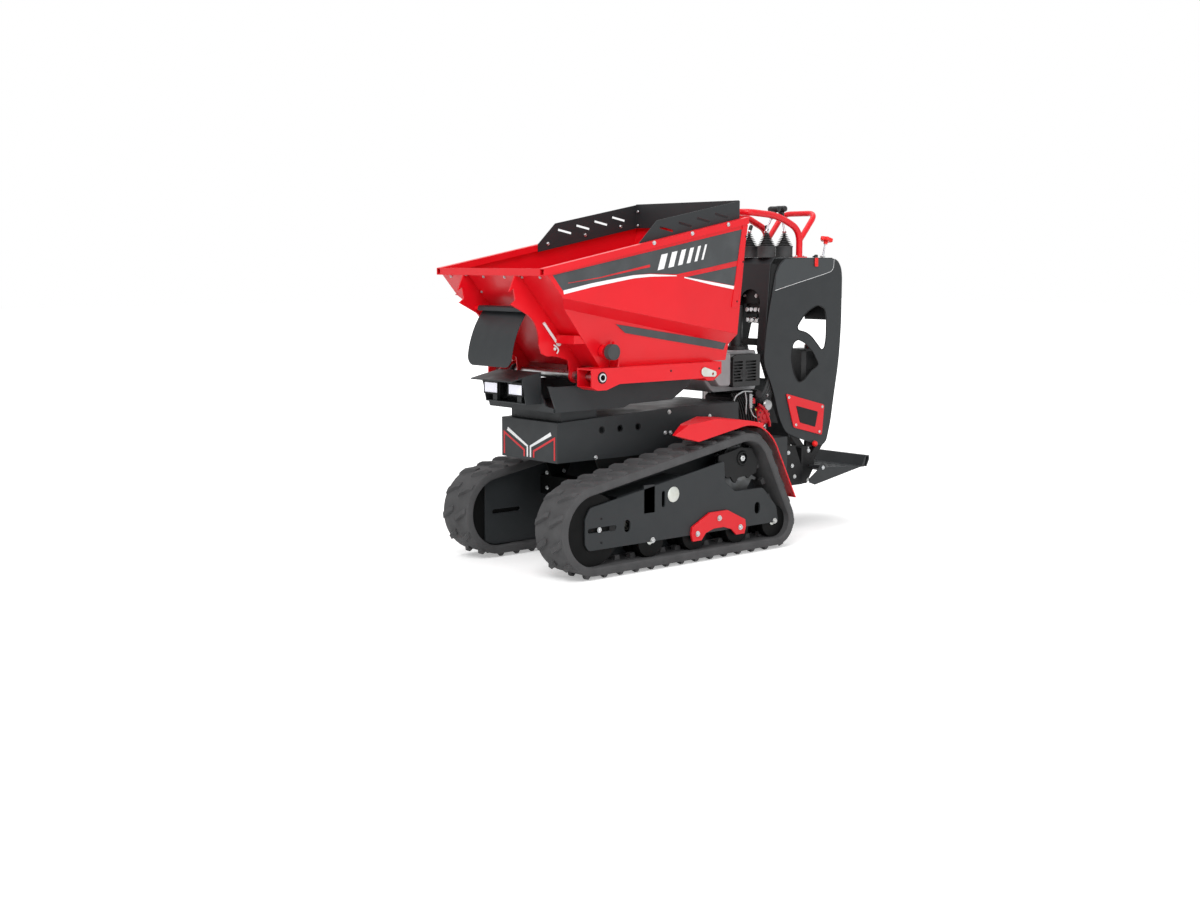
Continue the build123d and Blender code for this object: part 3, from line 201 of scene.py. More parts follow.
# the finishes of each of the record's slots; its CAD nodes take the first, or their own finish
FINISHES = {
    "red_paint": (RED, DECAL_RED), "dark_paint": (DARK, DEEP, PAINTED_SHADE_BLACK, FILM, DECAL_DARK),
    "lamp_white": (LENS, DECAL_WHITE), "rubber": (RUBBER,), "black_rubber": (SOFT_RUBBER,),
    "black_plastic": (PLASTIC,), "grey_plastic": (GREY_PLASTIC,), "red_plastic": (RED_PLASTIC, PAINTED_SHADE_RED),
    "steel": (ZINC, KEEPER, PIPE_GREY, BRASS, WHITE_PAINT), "chrome": (CHROME,),
    "cast_iron": (CAST, CAST_DARK), "cylinder_paint": (DEEP,),
}
OWN_FINISH = {
    # cross beams, idlers and rollers take the black with painted shade
    "console_frame": DEEP, "rear_bracket": DEEP, "cross_beams": PAINTED_SHADE_BLACK, "idlers": PAINTED_SHADE_BLACK, "rollers": PAINTED_SHADE_BLACK,
    "control_knobs": PLASTIC, "control_levers": PLASTIC, "lever_boots": SOFT_RUBBER, "skip_fittings": KEEPER,
    "valve_block": CAST,
}
for name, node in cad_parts.items():
    for slot in node.material_slots:
        slot.material = OWN_FINISH.get(name) or FINISHES[slot.material.name][0]

# ---- ways of making shapes ----
LEAST_R = 0.05           # points on the axis of a turned solid stand this far off it


def facing(at, normal):
    """Placement at a point, whose z axis is normal and whose y axis is near up."""
    z = Vector(normal).normalized()
    up = Vector((1, 0, 0) if abs(z.z) > 0.99 else (0, 0, 1))
    x = up.cross(z).normalized()
    turn = Matrix((x, z.cross(x), z)).transposed().to_4x4()
    return level(at) @ turn


def level(at):
    return Matrix.Translation(Vector(at) * MM)


def side_place(s, y):
    """Placement on an upright lengthways plane: local x runs forward, local y up, z outward on side s."""
    rows = Matrix(((1, 0, 0), (0, 0, s), (0, 1, 0))).to_4x4()
    return level((0, s * y, 0)) @ rows


def spread(count, low, high):
    return [low + (high - low) * i / (count - 1) for i in range(count)]


def ring(count, r, x=0.0, y=0.0):
    return [(x + r * cos(2 * pi * i / count), y + r * sin(2 * pi * i / count)) for i in range(count)]


def oblong(xa, ya, xb, yb):
    return [(xa, ya), (xb, ya), (xb, yb), (xa, yb)]


def rounded(corners, radius, steps):
    """The outline with every corner, or each by its own radius, rounded. Works in two or three dimensions."""
    count = len(corners)
    radii = radius if isinstance(radius, (list, tuple)) else [radius] * count
    outline = []
    for i, corner in enumerate(corners):
        here = Vector(corner)
        before, after = Vector(corners[i - 1]) - here, Vector(corners[(i + 1) % count]) - here
        reach = min(radii[i], 0.48 * before.length, 0.48 * after.length)
        if reach <= 0:
            outline.append(tuple(here))
            continue
        a, b = here + before.normalized() * reach, here + after.normalized() * reach
        for t in spread(steps + 1, 0, 1):
            outline.append(tuple((1 - t) ** 2 * a + 2 * t * (1 - t) * here + t ** 2 * b))
    return outline


def along(corners, radius):
    """An open route with rounded corners."""
    return rounded(corners, [0] + [radius] * (len(corners) - 2) + [0], 6)


def show(name, mesh, material, body="root", instead=None):
    """Puts the mesh on a body with the given finish, and in place of a CAD node if one is named."""
    mesh.materials.clear()
    mesh.materials.append(material)
    piece = bpy.data.objects.new(name, mesh)
    bpy.context.scene.collection.objects.link(piece)
    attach(piece, body)
    if instead:
        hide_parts(instead)


def smoothed(mesh, shape, angle=32):
    """Writes the bmesh to the mesh, facing outward and smooth but for edges sharper than the angle."""
    bmesh.ops.recalc_face_normals(shape, faces=shape.faces)
    for face in shape.faces:
        face.smooth = True
    shape.to_mesh(mesh)
    shape.free()
    mesh.set_sharp_from_angle(angle=radians(angle))


class Heap:
    """Closed solids of one material on one body, joined into one mesh."""

    def __init__(self):
        self.verts, self.faces = [], []

    def add(self, verts, faces, place=Matrix()):
        start = len(self.verts)
        self.verts += [place @ (Vector(v) * MM) for v in verts]
        self.faces += [tuple(start + i for i in face) for face in faces]

    def rings(self, loops, place=Matrix(), closed=False):
        """Skin over loops of equal length, capped at both ends unless it closes on itself."""
        count, width = len(loops), len(loops[0])
        verts = [v for loop in loops for v in loop]
        faces = []
        for i in range(count if closed else count - 1):
            a, b = i * width, (i + 1) % count * width
            faces += [(a + k, a + (k + 1) % width, b + (k + 1) % width, b + k) for k in range(width)]
        if not closed:
            faces += [tuple(reversed(range(width))), tuple((count - 1) * width + k for k in range(width))]
        self.add(verts, faces, place)

    def lathe(self, profile, at, normal=(0, 0, 1), steps=20, closed=False):
        """Turns (radius, height) steps about the normal into a solid, or into a ring if closed."""
        profile = list(profile)
        if not closed and profile[0][0] > LEAST_R:
            profile.insert(0, (0, profile[0][1]))
        if not closed and profile[-1][0] > LEAST_R:
            profile.append((0, profile[-1][1]))
        loops = [[(x, y, h) for x, y in ring(steps, max(r, LEAST_R))] for r, h in profile]
        self.rings(loops, facing(at, normal), closed)

    def drum(self, r, high, at, normal, steps):
        self.lathe(((r, 0), (r, high)), at, normal, steps)

    def band(self, r_in, r_out, high, at, normal, steps=28):
        """Flat ring."""
        self.lathe(((r_in, 0), (r_out, 0), (r_out, high), (r_in, high)), at, normal, steps, True)

    def nut(self, r, low, high, place):
        self.rings([[(u, v, h) for u, v in ring(6, r)] for h in (low, high)], place)

    def prism(self, outline, low, high, place=Matrix(), edge=0.0):
        """Solid on a flat outline, with an optional chamfer round its top."""
        middle = Vector((sum(p[0] for p in outline), sum(p[1] for p in outline))) / len(outline)
        loops = [[(x, y, low) for x, y in outline], [(x, y, high - edge) for x, y in outline]]
        if edge:
            share = 1 - edge / max((Vector(p) - middle).length for p in outline)
            loops.append([(*middle.lerp(Vector(p), share), high) for p in outline])
        self.rings(loops, place)

    def block(self, low, high, edge):
        """Box between two corners with chamfered upright edges."""
        (xa, ya, za), (xb, yb, zb) = low, high
        outline = rounded(oblong(xa, ya, xb, yb), edge, 1)
        self.prism(outline, za, zb, edge=min(edge, (zb - za) / 3))

    def tube(self, route, r, sides=12):
        """Round bar or hose along a route; r is one radius or one for each point."""
        points = [Vector(p) for p in route]
        radii = r if isinstance(r, (list, tuple)) else [r] * len(points)
        loops, side = [], None
        for i, point in enumerate(points):
            ahead = (points[min(i + 1, len(points) - 1)] - points[max(i - 1, 0)]).normalized()
            side = side or ahead.orthogonal()
            side = (side - ahead * side.dot(ahead)).normalized()
            other = ahead.cross(side)
            loops.append([tuple(point + side * x + other * y) for x, y in ring(sides, radii[i])])
        self.rings(loops)

    def bolt(self, at, normal, size, washer=True):
        """Flanged hexagon head with a dished top, on a washer; size is its thread."""
        base = 0.0
        if washer:
            base = 0.2 * size
            self.drum(1.15 * size, base, at, normal, 18)
        top = base + 0.62 * size
        steps = ((0.86, base), (0.86, top - 0.1 * size), (0.74, top), (0.42, top), (0.38, top - 0.3 * size))
        self.rings([[(x, y, h) for x, y in ring(6, r * size)] for r, h in steps], facing(at, normal))

    def bolts(self, points, y, normal, size):
        """Bolts at x, z points on an upright lengthways face."""
        for x, z in points:
            self.bolt((x, y, z), normal, size)

    def make(self, name, material, body="root", slot=None, instead=None, angle=32):
        mesh = bpy.data.meshes.new(name)
        mesh.from_pydata(self.verts, [], self.faces)
        shape = bmesh.new()
        shape.from_mesh(mesh)
        smoothed(mesh, shape, angle)
        show(name, mesh, material, body, instead)


def plate(name, outlines, place, thick, material, edge, body="root", instead=None):
    """Flat plate with holes; the first outline is its edge. It lies from the placement's plane outward."""
    curve = bpy.data.curves.new(name, "CURVE")
    curve.dimensions, curve.fill_mode = "2D", "BOTH"
    curve.extrude = (thick / 2 - edge) * MM
    curve.bevel_depth, curve.bevel_resolution, curve.offset = edge * MM, 1, -edge * MM
    for outline in outlines:
        spline = curve.splines.new("POLY")
        spline.points.add(len(outline) - 1)
        for point, (x, y) in zip(spline.points, outline):
            point.co = (x * MM, y * MM, 0, 1)
        spline.use_cyclic_u = True
    maker = bpy.data.objects.new(name + "_curve", curve)
    bpy.context.scene.collection.objects.link(maker)
    bpy.context.view_layer.update()
    mesh = bpy.data.meshes.new_from_object(maker)
    bpy.data.objects.remove(maker)
    mesh.transform(place @ Matrix.Translation((0, 0, thick / 2 * MM)))
    if place.determinant() < 0:
        mesh.flip_normals()
    mesh.name = name
    show(name, mesh, material, body, instead)

# ---- tracks ----
BELT_WIDE, BELT_THICK, LUG_HIGH, BELT_PITCH = 150.0, 30.0, 12.0, 72.0
TRACK_MID = 270.0
# x, z and radius of the wheels that the belt runs round, from the front
IDLER, SPROCKET, TAIL = WHEELS = ((711.0, 167.0, 125.0), (-10.0, 303.0, 115.0), (-178.0, 102.0, 60.0))
ARC_STEP = radians(5)


def belt_route():
    """Points and outward directions of the belt's inner face, once round the three wheels."""
    touches = []
    for (xa, za, ra), (xb, zb, rb) in zip(WHEELS, WHEELS[1:] + WHEELS[:1]):
        gap = hypot(xb - xa, zb - za)
        touches.append(atan2(zb - za, xb - xa) - pi / 2 + asin((ra - rb) / gap))
    points = []
    for i, (x, z, r) in enumerate(WHEELS):
        sweep = (touches[i] - touches[i - 1]) % (2 * pi)
        steps = max(2, round(sweep / ARC_STEP))
        for turn in spread(steps + 1, touches[i - 1], touches[i - 1] + sweep):
            points.append((Vector((x + r * cos(turn), z + r * sin(turn))), Vector((cos(turn), sin(turn)))))
    return points


route = belt_route()
lengths = [0.0]
for (a, _), (b, _) in zip(route, route[1:] + route[:1]):
    lengths.append(lengths[-1] + (b - a).length)
belt_long = lengths[-1]
link_count = round(belt_long / BELT_PITCH)
pitch = belt_long / link_count


def on_belt(at, y, h, side):
    """Point at a distance round the belt, y across it and h outward from its inner face."""
    at %= belt_long
    k = max(i for i in range(len(route)) if lengths[i] <= at)
    (a, na), (b, nb) = route[k], route[(k + 1) % len(route)]
    share = (at - lengths[k]) / max(lengths[k + 1] - lengths[k], 1e-6)
    spot, out = a.lerp(b, share), na.lerp(nb, share).normalized()
    return (spot.x + out.x * h, side * (TRACK_MID + y), spot.y + out.y * h)


def belt_block(heap, side, at, across, foot, top, low, high, slant, rows):
    """Tapered block on the belt: foot and top are its lengths, slant is its run along the belt for each y."""
    loops = []
    for i, y in enumerate(spread(rows + 1, *across)):
        drop = (high - BELT_THICK) * 0.55 if i in (0, rows) and high > BELT_THICK else 0.0
        section = ((-foot / 2, low), (-top / 2, high - drop), (top / 2, high - drop), (foot / 2, low))
        loops.append([on_belt(at + slant * y + u, y, h, side) for u, h in section])
    heap.rings(loops)


half = BELT_WIDE / 2
BELT_SECTION = ((-half, 4), (-half, BELT_THICK - 7), (-half + 3, BELT_THICK - 2), (-half + 9, BELT_THICK),
    (half - 9, BELT_THICK), (half - 3, BELT_THICK - 2), (half, BELT_THICK - 7), (half, 4), (half - 4, 0),
    (-half + 4, 0))
LUG_SLANT, LUG_FOOT, LUG_TOP, LUG_EDGE = 0.45, 23, 13, 7
HORN_FOOT, HORN_TOP, HORN_HALF, HORN_HIGH = 28, 18, 10, 17
for name, s in SIDES:
    belt = Heap()
    belt.rings([[on_belt(at, y, h, s) for y, h in BELT_SECTION] for at in lengths[:-1]], closed=True)
    for i in range(link_count):
        at = i * pitch
        # slanted lugs from either edge, half a pitch apart
        for start, across in ((at, (8, half - LUG_EDGE)), (at + pitch / 2, (LUG_EDGE - half, -8))):
            belt_block(belt, s, start, across, LUG_FOOT, LUG_TOP, BELT_THICK - 3, BELT_THICK + LUG_HIGH,
                s * LUG_SLANT, 5)
        # drive horn
        belt_block(belt, s, at, (-HORN_HALF, HORN_HALF), HORN_FOOT, HORN_TOP, 2, -HORN_HIGH, 0, 2)
    belt.make(f"{name}_rubber_belt", RUBBER, instead=f"{name}_track", angle=40)

# ---- track frames ----
PLATE_OUT, PLATE_THICK, PLATE_IN = 325.0, 8.0, 215.0
BEARING_OUT = PLATE_OUT - 2 * PLATE_THICK - 3       # inner face of the bearing plate
ROLLER_X, ROLLER_Z = (443.0, 232.0, 14.0, TAIL[0]), TAIL[1]
ROCKER_BOLTS = ((232.0, ROLLER_Z), (14.0, ROLLER_Z), (123.0, 147.0))
ROCKER_OUT = 333.3
PLATE_LOW = ROLLER_Z - 4
SHAFT = (-12.0, 353.0)                              # x and z of the sprocket's bearing


def slot_at(x, z, long, high, turn=0.0):
    """Outline of a round-ended slot."""
    r = high / 2
    points = [(long / 2 - r + r * cos(a), r * sin(a)) for a in spread(7, -pi / 2, pi / 2)]
    points += [(-u, -v) for u, v in points]
    return [(x + u * cos(turn) - v * sin(turn), z + u * sin(turn) + v * cos(turn)) for u, v in points]


def inside_belt(depth, x_low, x_high):
    """The belt's inner outline drawn in by depth, between two upright cuts."""
    return [(min(max(p.x - n.x * depth, x_low), x_high), p.y - n.y * depth) for p, n in route]


TENSIONER = (IDLER[0] - 37, IDLER[1], 128, 16)
OUTER_PLATE = ((-198, PLATE_LOW), (734, PLATE_LOW), (750, 120), (750, 208), (728, 246), (92, 352), (86, 278),
    (36, 236), (-112, 236), (-186, 160))
OUTER_CUTS = (oblong(434, 202, 482, 298), slot_at(391, 243, 58, 16, pi / 2), slot_at(*TENSIONER),
    slot_at(560, 166, 44, 28, pi / 2), slot_at(-84, 162, 44, 28, pi / 2))
BEARING_PLATE = ((110, 372), (112, 292), (78, 296), (64, 284), (48, 290), (36, 272), (22, 262), (8, 282),
    (-30, 286), (-44, 274), (-58, 284), (-84, 292), (-98, 330), (-62, 386), (0, 394), (40, 384))
SLOPED_WEB = ((300, 308), (600, 259), (600, 269), (300, 318))
zinc, steel, dark_bits = Heap(), Heap(), Heap()
for name, s in SIDES:
    out, face = (0, s, 0), s * PLATE_OUT
    plate(f"{name}_outer_plate", [rounded(OUTER_PLATE, 10, 3), *OUTER_CUTS],
        side_place(s, PLATE_OUT - PLATE_THICK), PLATE_THICK, DARK, 1.2, instead=f"{name}_track_frame")
    plate(f"{name}_bearing_plate", [rounded(BEARING_PLATE, 5, 3), ring(32, 28, *SHAFT)],
        side_place(s, BEARING_OUT), PLATE_THICK, DEEP, 1.0)
    plate(f"{name}_inner_plate", [inside_belt(4, -222, 770), slot_at(*TENSIONER),
        ring(32, 45, *SPROCKET[:2])], side_place(s, PLATE_IN), PLATE_THICK, DARK, 1.0)
    webs = Heap()
    y_in, y_out = PLATE_IN + PLATE_THICK, PLATE_OUT - PLATE_THICK
    y_low, y_high = sorted((s * y_in, s * y_out))
    for x in (338, 132):
        webs.block((x - 25, y_low, IDLER[1] - 25), (x + 25, y_high, IDLER[1] + 25), 3)
    webs.prism(SLOPED_WEB, 0, y_out - y_in, side_place(s, y_in))
    webs.make(f"{name}_frame_webs", DARK)

    for x in ROLLER_X:
        # hub cap of each roller, seen under the plate's edge
        steel.lathe(((13, 0), (13, 3), (10, 4)), (x + 5, s * (y_out - 2.5), ROLLER_Z - 2), out, 28)
    zinc.bolts([(x, ROLLER_Z + 1) for x in ROLLER_X[::3]], face, out, 9)
    zinc.bolts(ROCKER_BOLTS, s * ROCKER_OUT, out, 9)
    zinc.bolt((688, face, IDLER[1]), out, 8)
    for z in (204, 122):
        dark_bits.lathe(((4, 0), (4, 1.5), (0, 2)), (678, face, z), out, 10)
    # tensioner: slide block in the slot, grease cylinder and spring rod between the plates
    low, high = sorted((s * (y_out - 4), face + s))
    dark_bits.block((614, low, 157), (642, high, 175), 2)
    steel.lathe(((23, 0), (26, 4), (26, 190), (17, 196), (17, 250)), (362, s * TRACK_MID, IDLER[1]),
        (1, 0, 0), 24)
    steel.lathe(((15, 0), (15, 60), (0, 62)), (452, s * 283, 262), (0.3, 0, -1), 18)
    # round cover disc on the outer plate
    steel.lathe(((27.5, 0), (27.5, 1), (26.5, 1.6)), (344, face, 255), out, 36)
    # sprocket's bearing: bored boss with a nut inside it
    dark_bits.lathe(((27, 0), (27, 9), (24, 12), (21, 12), (19, 3)),
        (SHAFT[0], s * (BEARING_OUT + 1), SHAFT[1]), out, 28)
    zinc.bolt((SHAFT[0], s * (BEARING_OUT + 4), SHAFT[1]), out, 14, washer=False)
zinc.make("track_bolts", ZINC)
steel.make("track_steel_parts", KEEPER)
dark_bits.make("track_small_parts", DEEP)

# ---- skip ----
SKIP_SIDE, RAIL_SIDE = 300.0, 294.0              # half widths over the upper walls and the rails
FRONT_FOOT, FRONT_LIP = (618.0, 712.0), (906.0, 1048.0)
front_lean = (FRONT_LIP[0] - FRONT_FOOT[0]) / (FRONT_LIP[1] - FRONT_FOOT[1])
FRONT_OUT = (1, 0, -front_lean)


def front_wall_x(z):
    """Outer face of the skip's sloping front wall."""
    return FRONT_FOOT[0] + (z - FRONT_FOOT[1]) * front_lean


def flat(y):
    return lambda x, z: y


def lower_wall(x, z):
    """Half width of the leaning lower side wall."""
    return 259.6 - 0.01055 * (x - 11) + 0.1258 * (z - 771)


def film(heap, outline, wall, s, thick=0.35):
    """Thin decal on a side wall; wall is its half width at x, z."""
    heap.rings([[(x, s * (wall(x, z) + out), z) for x, z in outline] for out in (0.1, thick)])


def stripe(route, width):
    """Outline of a mitred band along a route of x, z points; width is one number or one for each point."""
    widths = width if isinstance(width, (list, tuple)) else [width] * len(route)
    points = [Vector(p) for p in route]
    runs = [(b - a).normalized() for a, b in zip(points, points[1:])]
    upper, lower = [], []
    for i, point in enumerate(points):
        before, after = runs[max(i - 1, 0)], runs[min(i, len(runs) - 1)]
        mitre = Vector((-before.y - after.y, before.x + after.x)) / (1 + before.dot(after)) * widths[i] / 2
        upper.append(tuple(point + mitre))
        lower.append(tuple(point - mitre))
    return upper + lower[::-1]


# decals: x, z points of their outlines or, for a stripe, of its route with its widths
DARK_FRONT = ((866, 1026), (-34, 1190), (-6, 1076), (150, 1050), (311, 1026), (437, 1029), (510, 1025),
    (577, 1016), (700, 998), (824, 976))
DARK_REAR = ((268, 1016), (0, 1056), (11, 981), (140, 1000))
LOW_BAND = ((562, 858), (24, 777), (34, 750), (516, 826))
WHITE_STRIPES = ((((820, 970), (700, 992), (577, 1010), (510, 1019), (437, 1023), (311, 1021)),
    (13, 13, 12, 11, 9, 3)), (((274, 1015), (140, 993), (12, 974)), (4, 10, 12)))
RED_STRIPES = ((((801, 1000), (670, 1016), (437, 1056)), (2, 3, 9)),
    (((300, 1018), (150, 1043), (-3, 1066)), (5, 11, 13)))
# slanted bars where the decal carries its big lettering: x at the foot, width
BARS = ((402, 30), (352, 26), (306, 22), (264, 18), (226, 14), (192, 10))
BAR_RISE, BAR_LEAN, BAR_SLOPE = 54, 18, 0.17
STRIPE_THICK = 0.5
dark_film, white_film, red_film = Heap(), Heap(), Heap()
for _, s in SIDES:
    film(dark_film, DARK_FRONT, flat(SKIP_SIDE), s)
    film(dark_film, DARK_REAR, flat(SKIP_SIDE), s)
    film(dark_film, LOW_BAND, lower_wall, s)
    for heap, stripes in ((white_film, WHITE_STRIPES), (red_film, RED_STRIPES)):
        for points, widths in stripes:
            film(heap, stripe(points, widths), flat(SKIP_SIDE), s, STRIPE_THICK)
    for x, wide in BARS:
        foot = 1040 + (BARS[0][0] - x) * BAR_SLOPE
        head, rise = foot + BAR_RISE, wide * BAR_SLOPE
        bar = ((x, foot), (x - BAR_LEAN, head), (x - BAR_LEAN - wide, head + rise), (x - wide, foot + rise))
        film(white_film, bar, flat(SKIP_SIDE), s, STRIPE_THICK)
dark_film.make("skip_dark_film", DECAL_DARK, "skip")
white_film.make("skip_white_film", DECAL_WHITE, "skip")
red_film.make("skip_red_film", DECAL_RED, "skip")

RIM_BOLTS = ((424, 1134), (243, 1168), (65, 1202))
RIM_OUT, BOARD_IN = 306.2, 278.5
skip_bolts, skip_red, skip_dark = Heap(), Heap(), Heap()
for _, s in SIDES:
    out = (0, s, 0)
    # bolts of the side boards, under the rim outside and on the boards inside
    for x, z in RIM_BOLTS:
        skip_bolts.bolt((x, s * RIM_OUT, z), out, 6.5)
        skip_bolts.bolt((x, s * BOARD_IN, z + 2), (0, -s, 0), 6)
    # rear edge: a folded strip with rivets
    strip = [(-40, 1204), (-14, 1204), (40, 905), (14, 905)]
    skip_red.prism(rounded(strip, 4, 2), 0, 3, side_place(s, SKIP_SIDE), 0.8)
    for x, z in ((-16, 1069), (13, 927), (-30, 1160)):
        skip_dark.lathe(((3.4, 0), (3.4, 0.8), (2, 1.8), (0, 2)), (x, s * (SKIP_SIDE + 3), z), out, 12)
    # slim weld line on the side wall's fold
    skip_red.tube([(830, s * (SKIP_SIDE + 0.4), 953), (11, s * (SKIP_SIDE + 0.4), 809)], 1.6, 8)
    # rail: collar round the pivot, rivets
    skip_dark.band(16, 20, 1.5, (648, s * RAIL_SIDE, 680), out)
    for x, z in ((92, 687), (330, 689)):
        skip_dark.lathe(((4, 0), (4, 0.8), (2.4, 1.8), (0, 2)), (x, s * RAIL_SIDE, z), out, 12)
    # bolts under the front lip, of the front wall, of the guard and of the rear board
    for y in (253, 157, 60):
        skip_bolts.bolt((front_wall_x(1019), s * y, 1019), FRONT_OUT, 5)
    skip_bolts.bolt((front_wall_x(966), s * 133.92, 966), FRONT_OUT, 5)
    skip_bolts.bolt((842, s * 47, 885), (0.97, 0, 0.24), 6)
    for z in (1209, 1262):
        skip_bolts.bolt((-11, s * 263, z), (1, 0, 0), 5)
skip_bolts.make("skip_bolts", ZINC, "skip")
skip_red.make("skip_edge_strips", RED, "skip")
skip_dark.make("skip_rivets", DEEP, "skip")

# keeper plates, gussets with their round seats, and the prop rod with its pins
gussets, rod = Heap(), Heap()
KEEPER_EDGE = [(167 + 17 * cos(a), 678 + 17 * sin(a)) for a in spread(13, -pi / 2, pi / 2)]
KEEPER_EDGE += [(120 + 11 * cos(a), 669 + 11 * sin(a)) for a in spread(13, pi / 2, 3 * pi / 2)]
GUSSET_EDGE = ((250, 713), (293, 713), (297, 735), (287, 764), (276, 790), (263, 800))
STOP_PLATE = ((578, 750), (600, 748), (600, 784), (578, 782))
GUSSET_X, STOP_X, STOP_Z = 572.0, 610.0, 766.0
for name, s in SIDES:
    plate(f"{name}_keeper_plate", [KEEPER_EDGE, ring(20, 5, 127, 669)], side_place(s, RAIL_SIDE + 0.3), 5,
        KEEPER, 1.0, "skip", "skip_fittings" if s > 0 else None)
    gussets.rings([[(GUSSET_X + u, s * y, z) for y, z in GUSSET_EDGE] for u in (0, 6)])
    gussets.drum(22, 20, (STOP_X, s * 255, STOP_Z), (0, s, 0), 28)
    gussets.rings([[(x, s * y, z) for x, z in STOP_PLATE] for y in (262, 268)])
foot, head = Vector((724, 154.8, 787)), Vector((789, 154.8, 865))
rod.tube([foot, head], 5, 14)
rod.tube([foot + Vector((3, -3, 4)), foot + Vector((3, 8, 4))], 6.5, 14)
rod.tube(along([foot + Vector((22, 0, 2)), (733, 156, 781), (725, 156, 771), (733, 156, 759)], 8), 2.4, 10)
rod.bolt((739, 152, 775), (0, 1, 0), 5)
rod.make("prop_rod", WHITE_PAINT, "skip")
gussets.make("skip_gussets", RED, "skip")
# the guard's folded top
GUARD_FOLD, GUARD_HALF = ((829, 903), (829, 913), (833, 919.5), (854, 919.5), (859.5, 915), (860.5, 903)), 125
guard_top = Heap()
guard_top.rings([[(x, y, z) for x, z in GUARD_FOLD] for y in (-GUARD_HALF, GUARD_HALF)])
guard_top.make("guard_folded_top", DARK, "skip")

# ---- chassis ----
NOSE_X, CHASSIS_SIDE, CHASSIS_BOLT = 735.0, 157.0, 7
# painted lines on the nose plate: y, z corners and widths
NOSE_WHITE = (((9, 389), (9, 427), (124, 480)), (8, 8, 13))
NOSE_RED = (((27, 389), (27, 412), (143, 466), (143, 389)), 7.5)
nose_white, nose_red = Heap(), Heap()
for _, s in SIDES:
    for heap, (corners, width) in ((nose_white, NOSE_WHITE), (nose_red, NOSE_RED)):
        outline = stripe([(s * y, z) for y, z in corners], width)
        heap.rings([[(NOSE_X + out, y, z) for y, z in outline] for out in (0.1, 0.45)])
nose_white.make("nose_white_lines", DECAL_WHITE)
nose_red.make("nose_red_lines", DECAL_RED)

bolts, black = Heap(), Heap()
for _, s in SIDES:
    out = (0, s, 0)
    bolts.bolts(((561, 388), (229, 451), (203, 450), (3, 497), (210, 526)), s * CHASSIS_SIDE, out,
        CHASSIS_BOLT)
    # rings inside the three big holes
    for x in (362, 447.5, 533):
        black.band(11, 13.5, 0.8, (x, s * CHASSIS_SIDE, 483), out, 24)
    # cross beam brackets under the box
    for x in (480, 560):
        for z in (250, 305):
            bolts.bolt((x, s * 118, z), (1, 0, 0), CHASSIS_BOLT)
    for x, z in ((150, 432), (-60, 470)):
        bolts.bolt((x, s * 190, z), (0, 0, 1), 6)
    # rear bracket and platform bolts
    bolts.bolts(((-461, 319), (-484, 265), (-499, 221), (-578, 319), (-578, 201)), s * 130, out, CHASSIS_BOLT)
bolts.make("chassis_bolts", ZINC)
black.make("chassis_rings", DEEP)

# the fenders without their inner front corner: copies of the CAD meshes with an upright cut, closed again
CUT_FRONT, CUT_REAR = (352.0, 330.0), (-40.0, 157.0)     # x and half width of two points on the cut
for name, s in SIDES:
    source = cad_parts[f"{name}_fender"]
    cut = bmesh.new()
    cut.from_mesh(source.data)
    cut.transform(source.matrix_world)
    bmesh.ops.remove_doubles(cut, verts=cut.verts, dist=1e-6)
    forward = Vector((CUT_FRONT[1] - CUT_REAR[1], s * (CUT_REAR[0] - CUT_FRONT[0]), 0))
    bmesh.ops.bisect_plane(cut, geom=cut.verts[:] + cut.edges[:] + cut.faces[:], clear_outer=True,
        plane_no=forward, plane_co=Vector((CUT_REAR[0], s * CUT_REAR[1], 0)) * MM)
    bmesh.ops.holes_fill(cut, edges=[edge for edge in cut.edges if edge.is_boundary])
    fender = bpy.data.meshes.new(f"{name}_cut_fender")
    smoothed(fender, cut)
    show(fender.name, fender, RED, instead=f"{name}_fender")

# ---- operator's console ----
PANEL_OUT, PANEL_THICK, CONSOLE_TOP = 100.0, 4.0, 1085.0
# side panel: x, z and rounding of each corner
PANEL = ((-405, 1020, 12), (-424, 1058, 20), (-458, 1082, 18), (-504, 1085, 10), (-721, 1085, 20),
    (-768, 1078, 20), (-792, 1048, 20), (-799, 1012, 20), (-799, 827, 40), (-789, 677, 60), (-758, 509, 60),
    (-744, 422, 30), (-720, 342, 24), (-690, 326, 20), (-575, 360, 60), (-478, 394, 30), (-438, 455, 40),
    (-401, 572, 40), (-352, 665, 24), (-347, 700, 24), (-361, 826, 60))
# the right side has one opening, out through its rear edge, in place of two corners and the windows
REAR_OPENING = ((-799, 842, 4), (-690, 842, 20), (-600, 838, 20), (-480, 830, 16), (-455, 740, 16),
    (-520, 600, 20), (-640, 590, 20), (-780, 600, 4))
REAR_FIRST = 8
UPPER_WINDOW = ((-660, 896), (-698, 882), (-708, 840), (-708, 767), (-699, 724), (-680, 716), (-661, 735),
    (-619, 773), (-587, 790), (-540, 800), (-535, 815), (-567, 851), (-598, 874), (-640, 893))
LOWER_WINDOW = ((-501, 690), (-512, 750), (-540, 764), (-583, 747), (-632, 709), (-668, 656), (-623, 636),
    (-582, 600), (-547, 589), (-519, 628))
windows = [rounded(window, 16, 4) for window in (UPPER_WINDOW, LOWER_WINDOW)]


def panel_edge(corners):
    return rounded([(x, z) for x, z, _ in corners], [r for _, _, r in corners], 4)


plate("left_console_side", [panel_edge(PANEL), *windows], side_place(1, PANEL_OUT - PANEL_THICK),
    PANEL_THICK, DARK, 0.8, instead="left_console_panel")
plate("right_console_side", [panel_edge(PANEL[:REAR_FIRST] + REAR_OPENING + PANEL[REAR_FIRST + 2:])],
    side_place(-1, PANEL_OUT - PANEL_THICK), PANEL_THICK, DARK, 0.8, instead="right_console_panel")

dark, screws, red, chrome, grips = Heap(), Heap(), Heap(), Heap(), Heap()
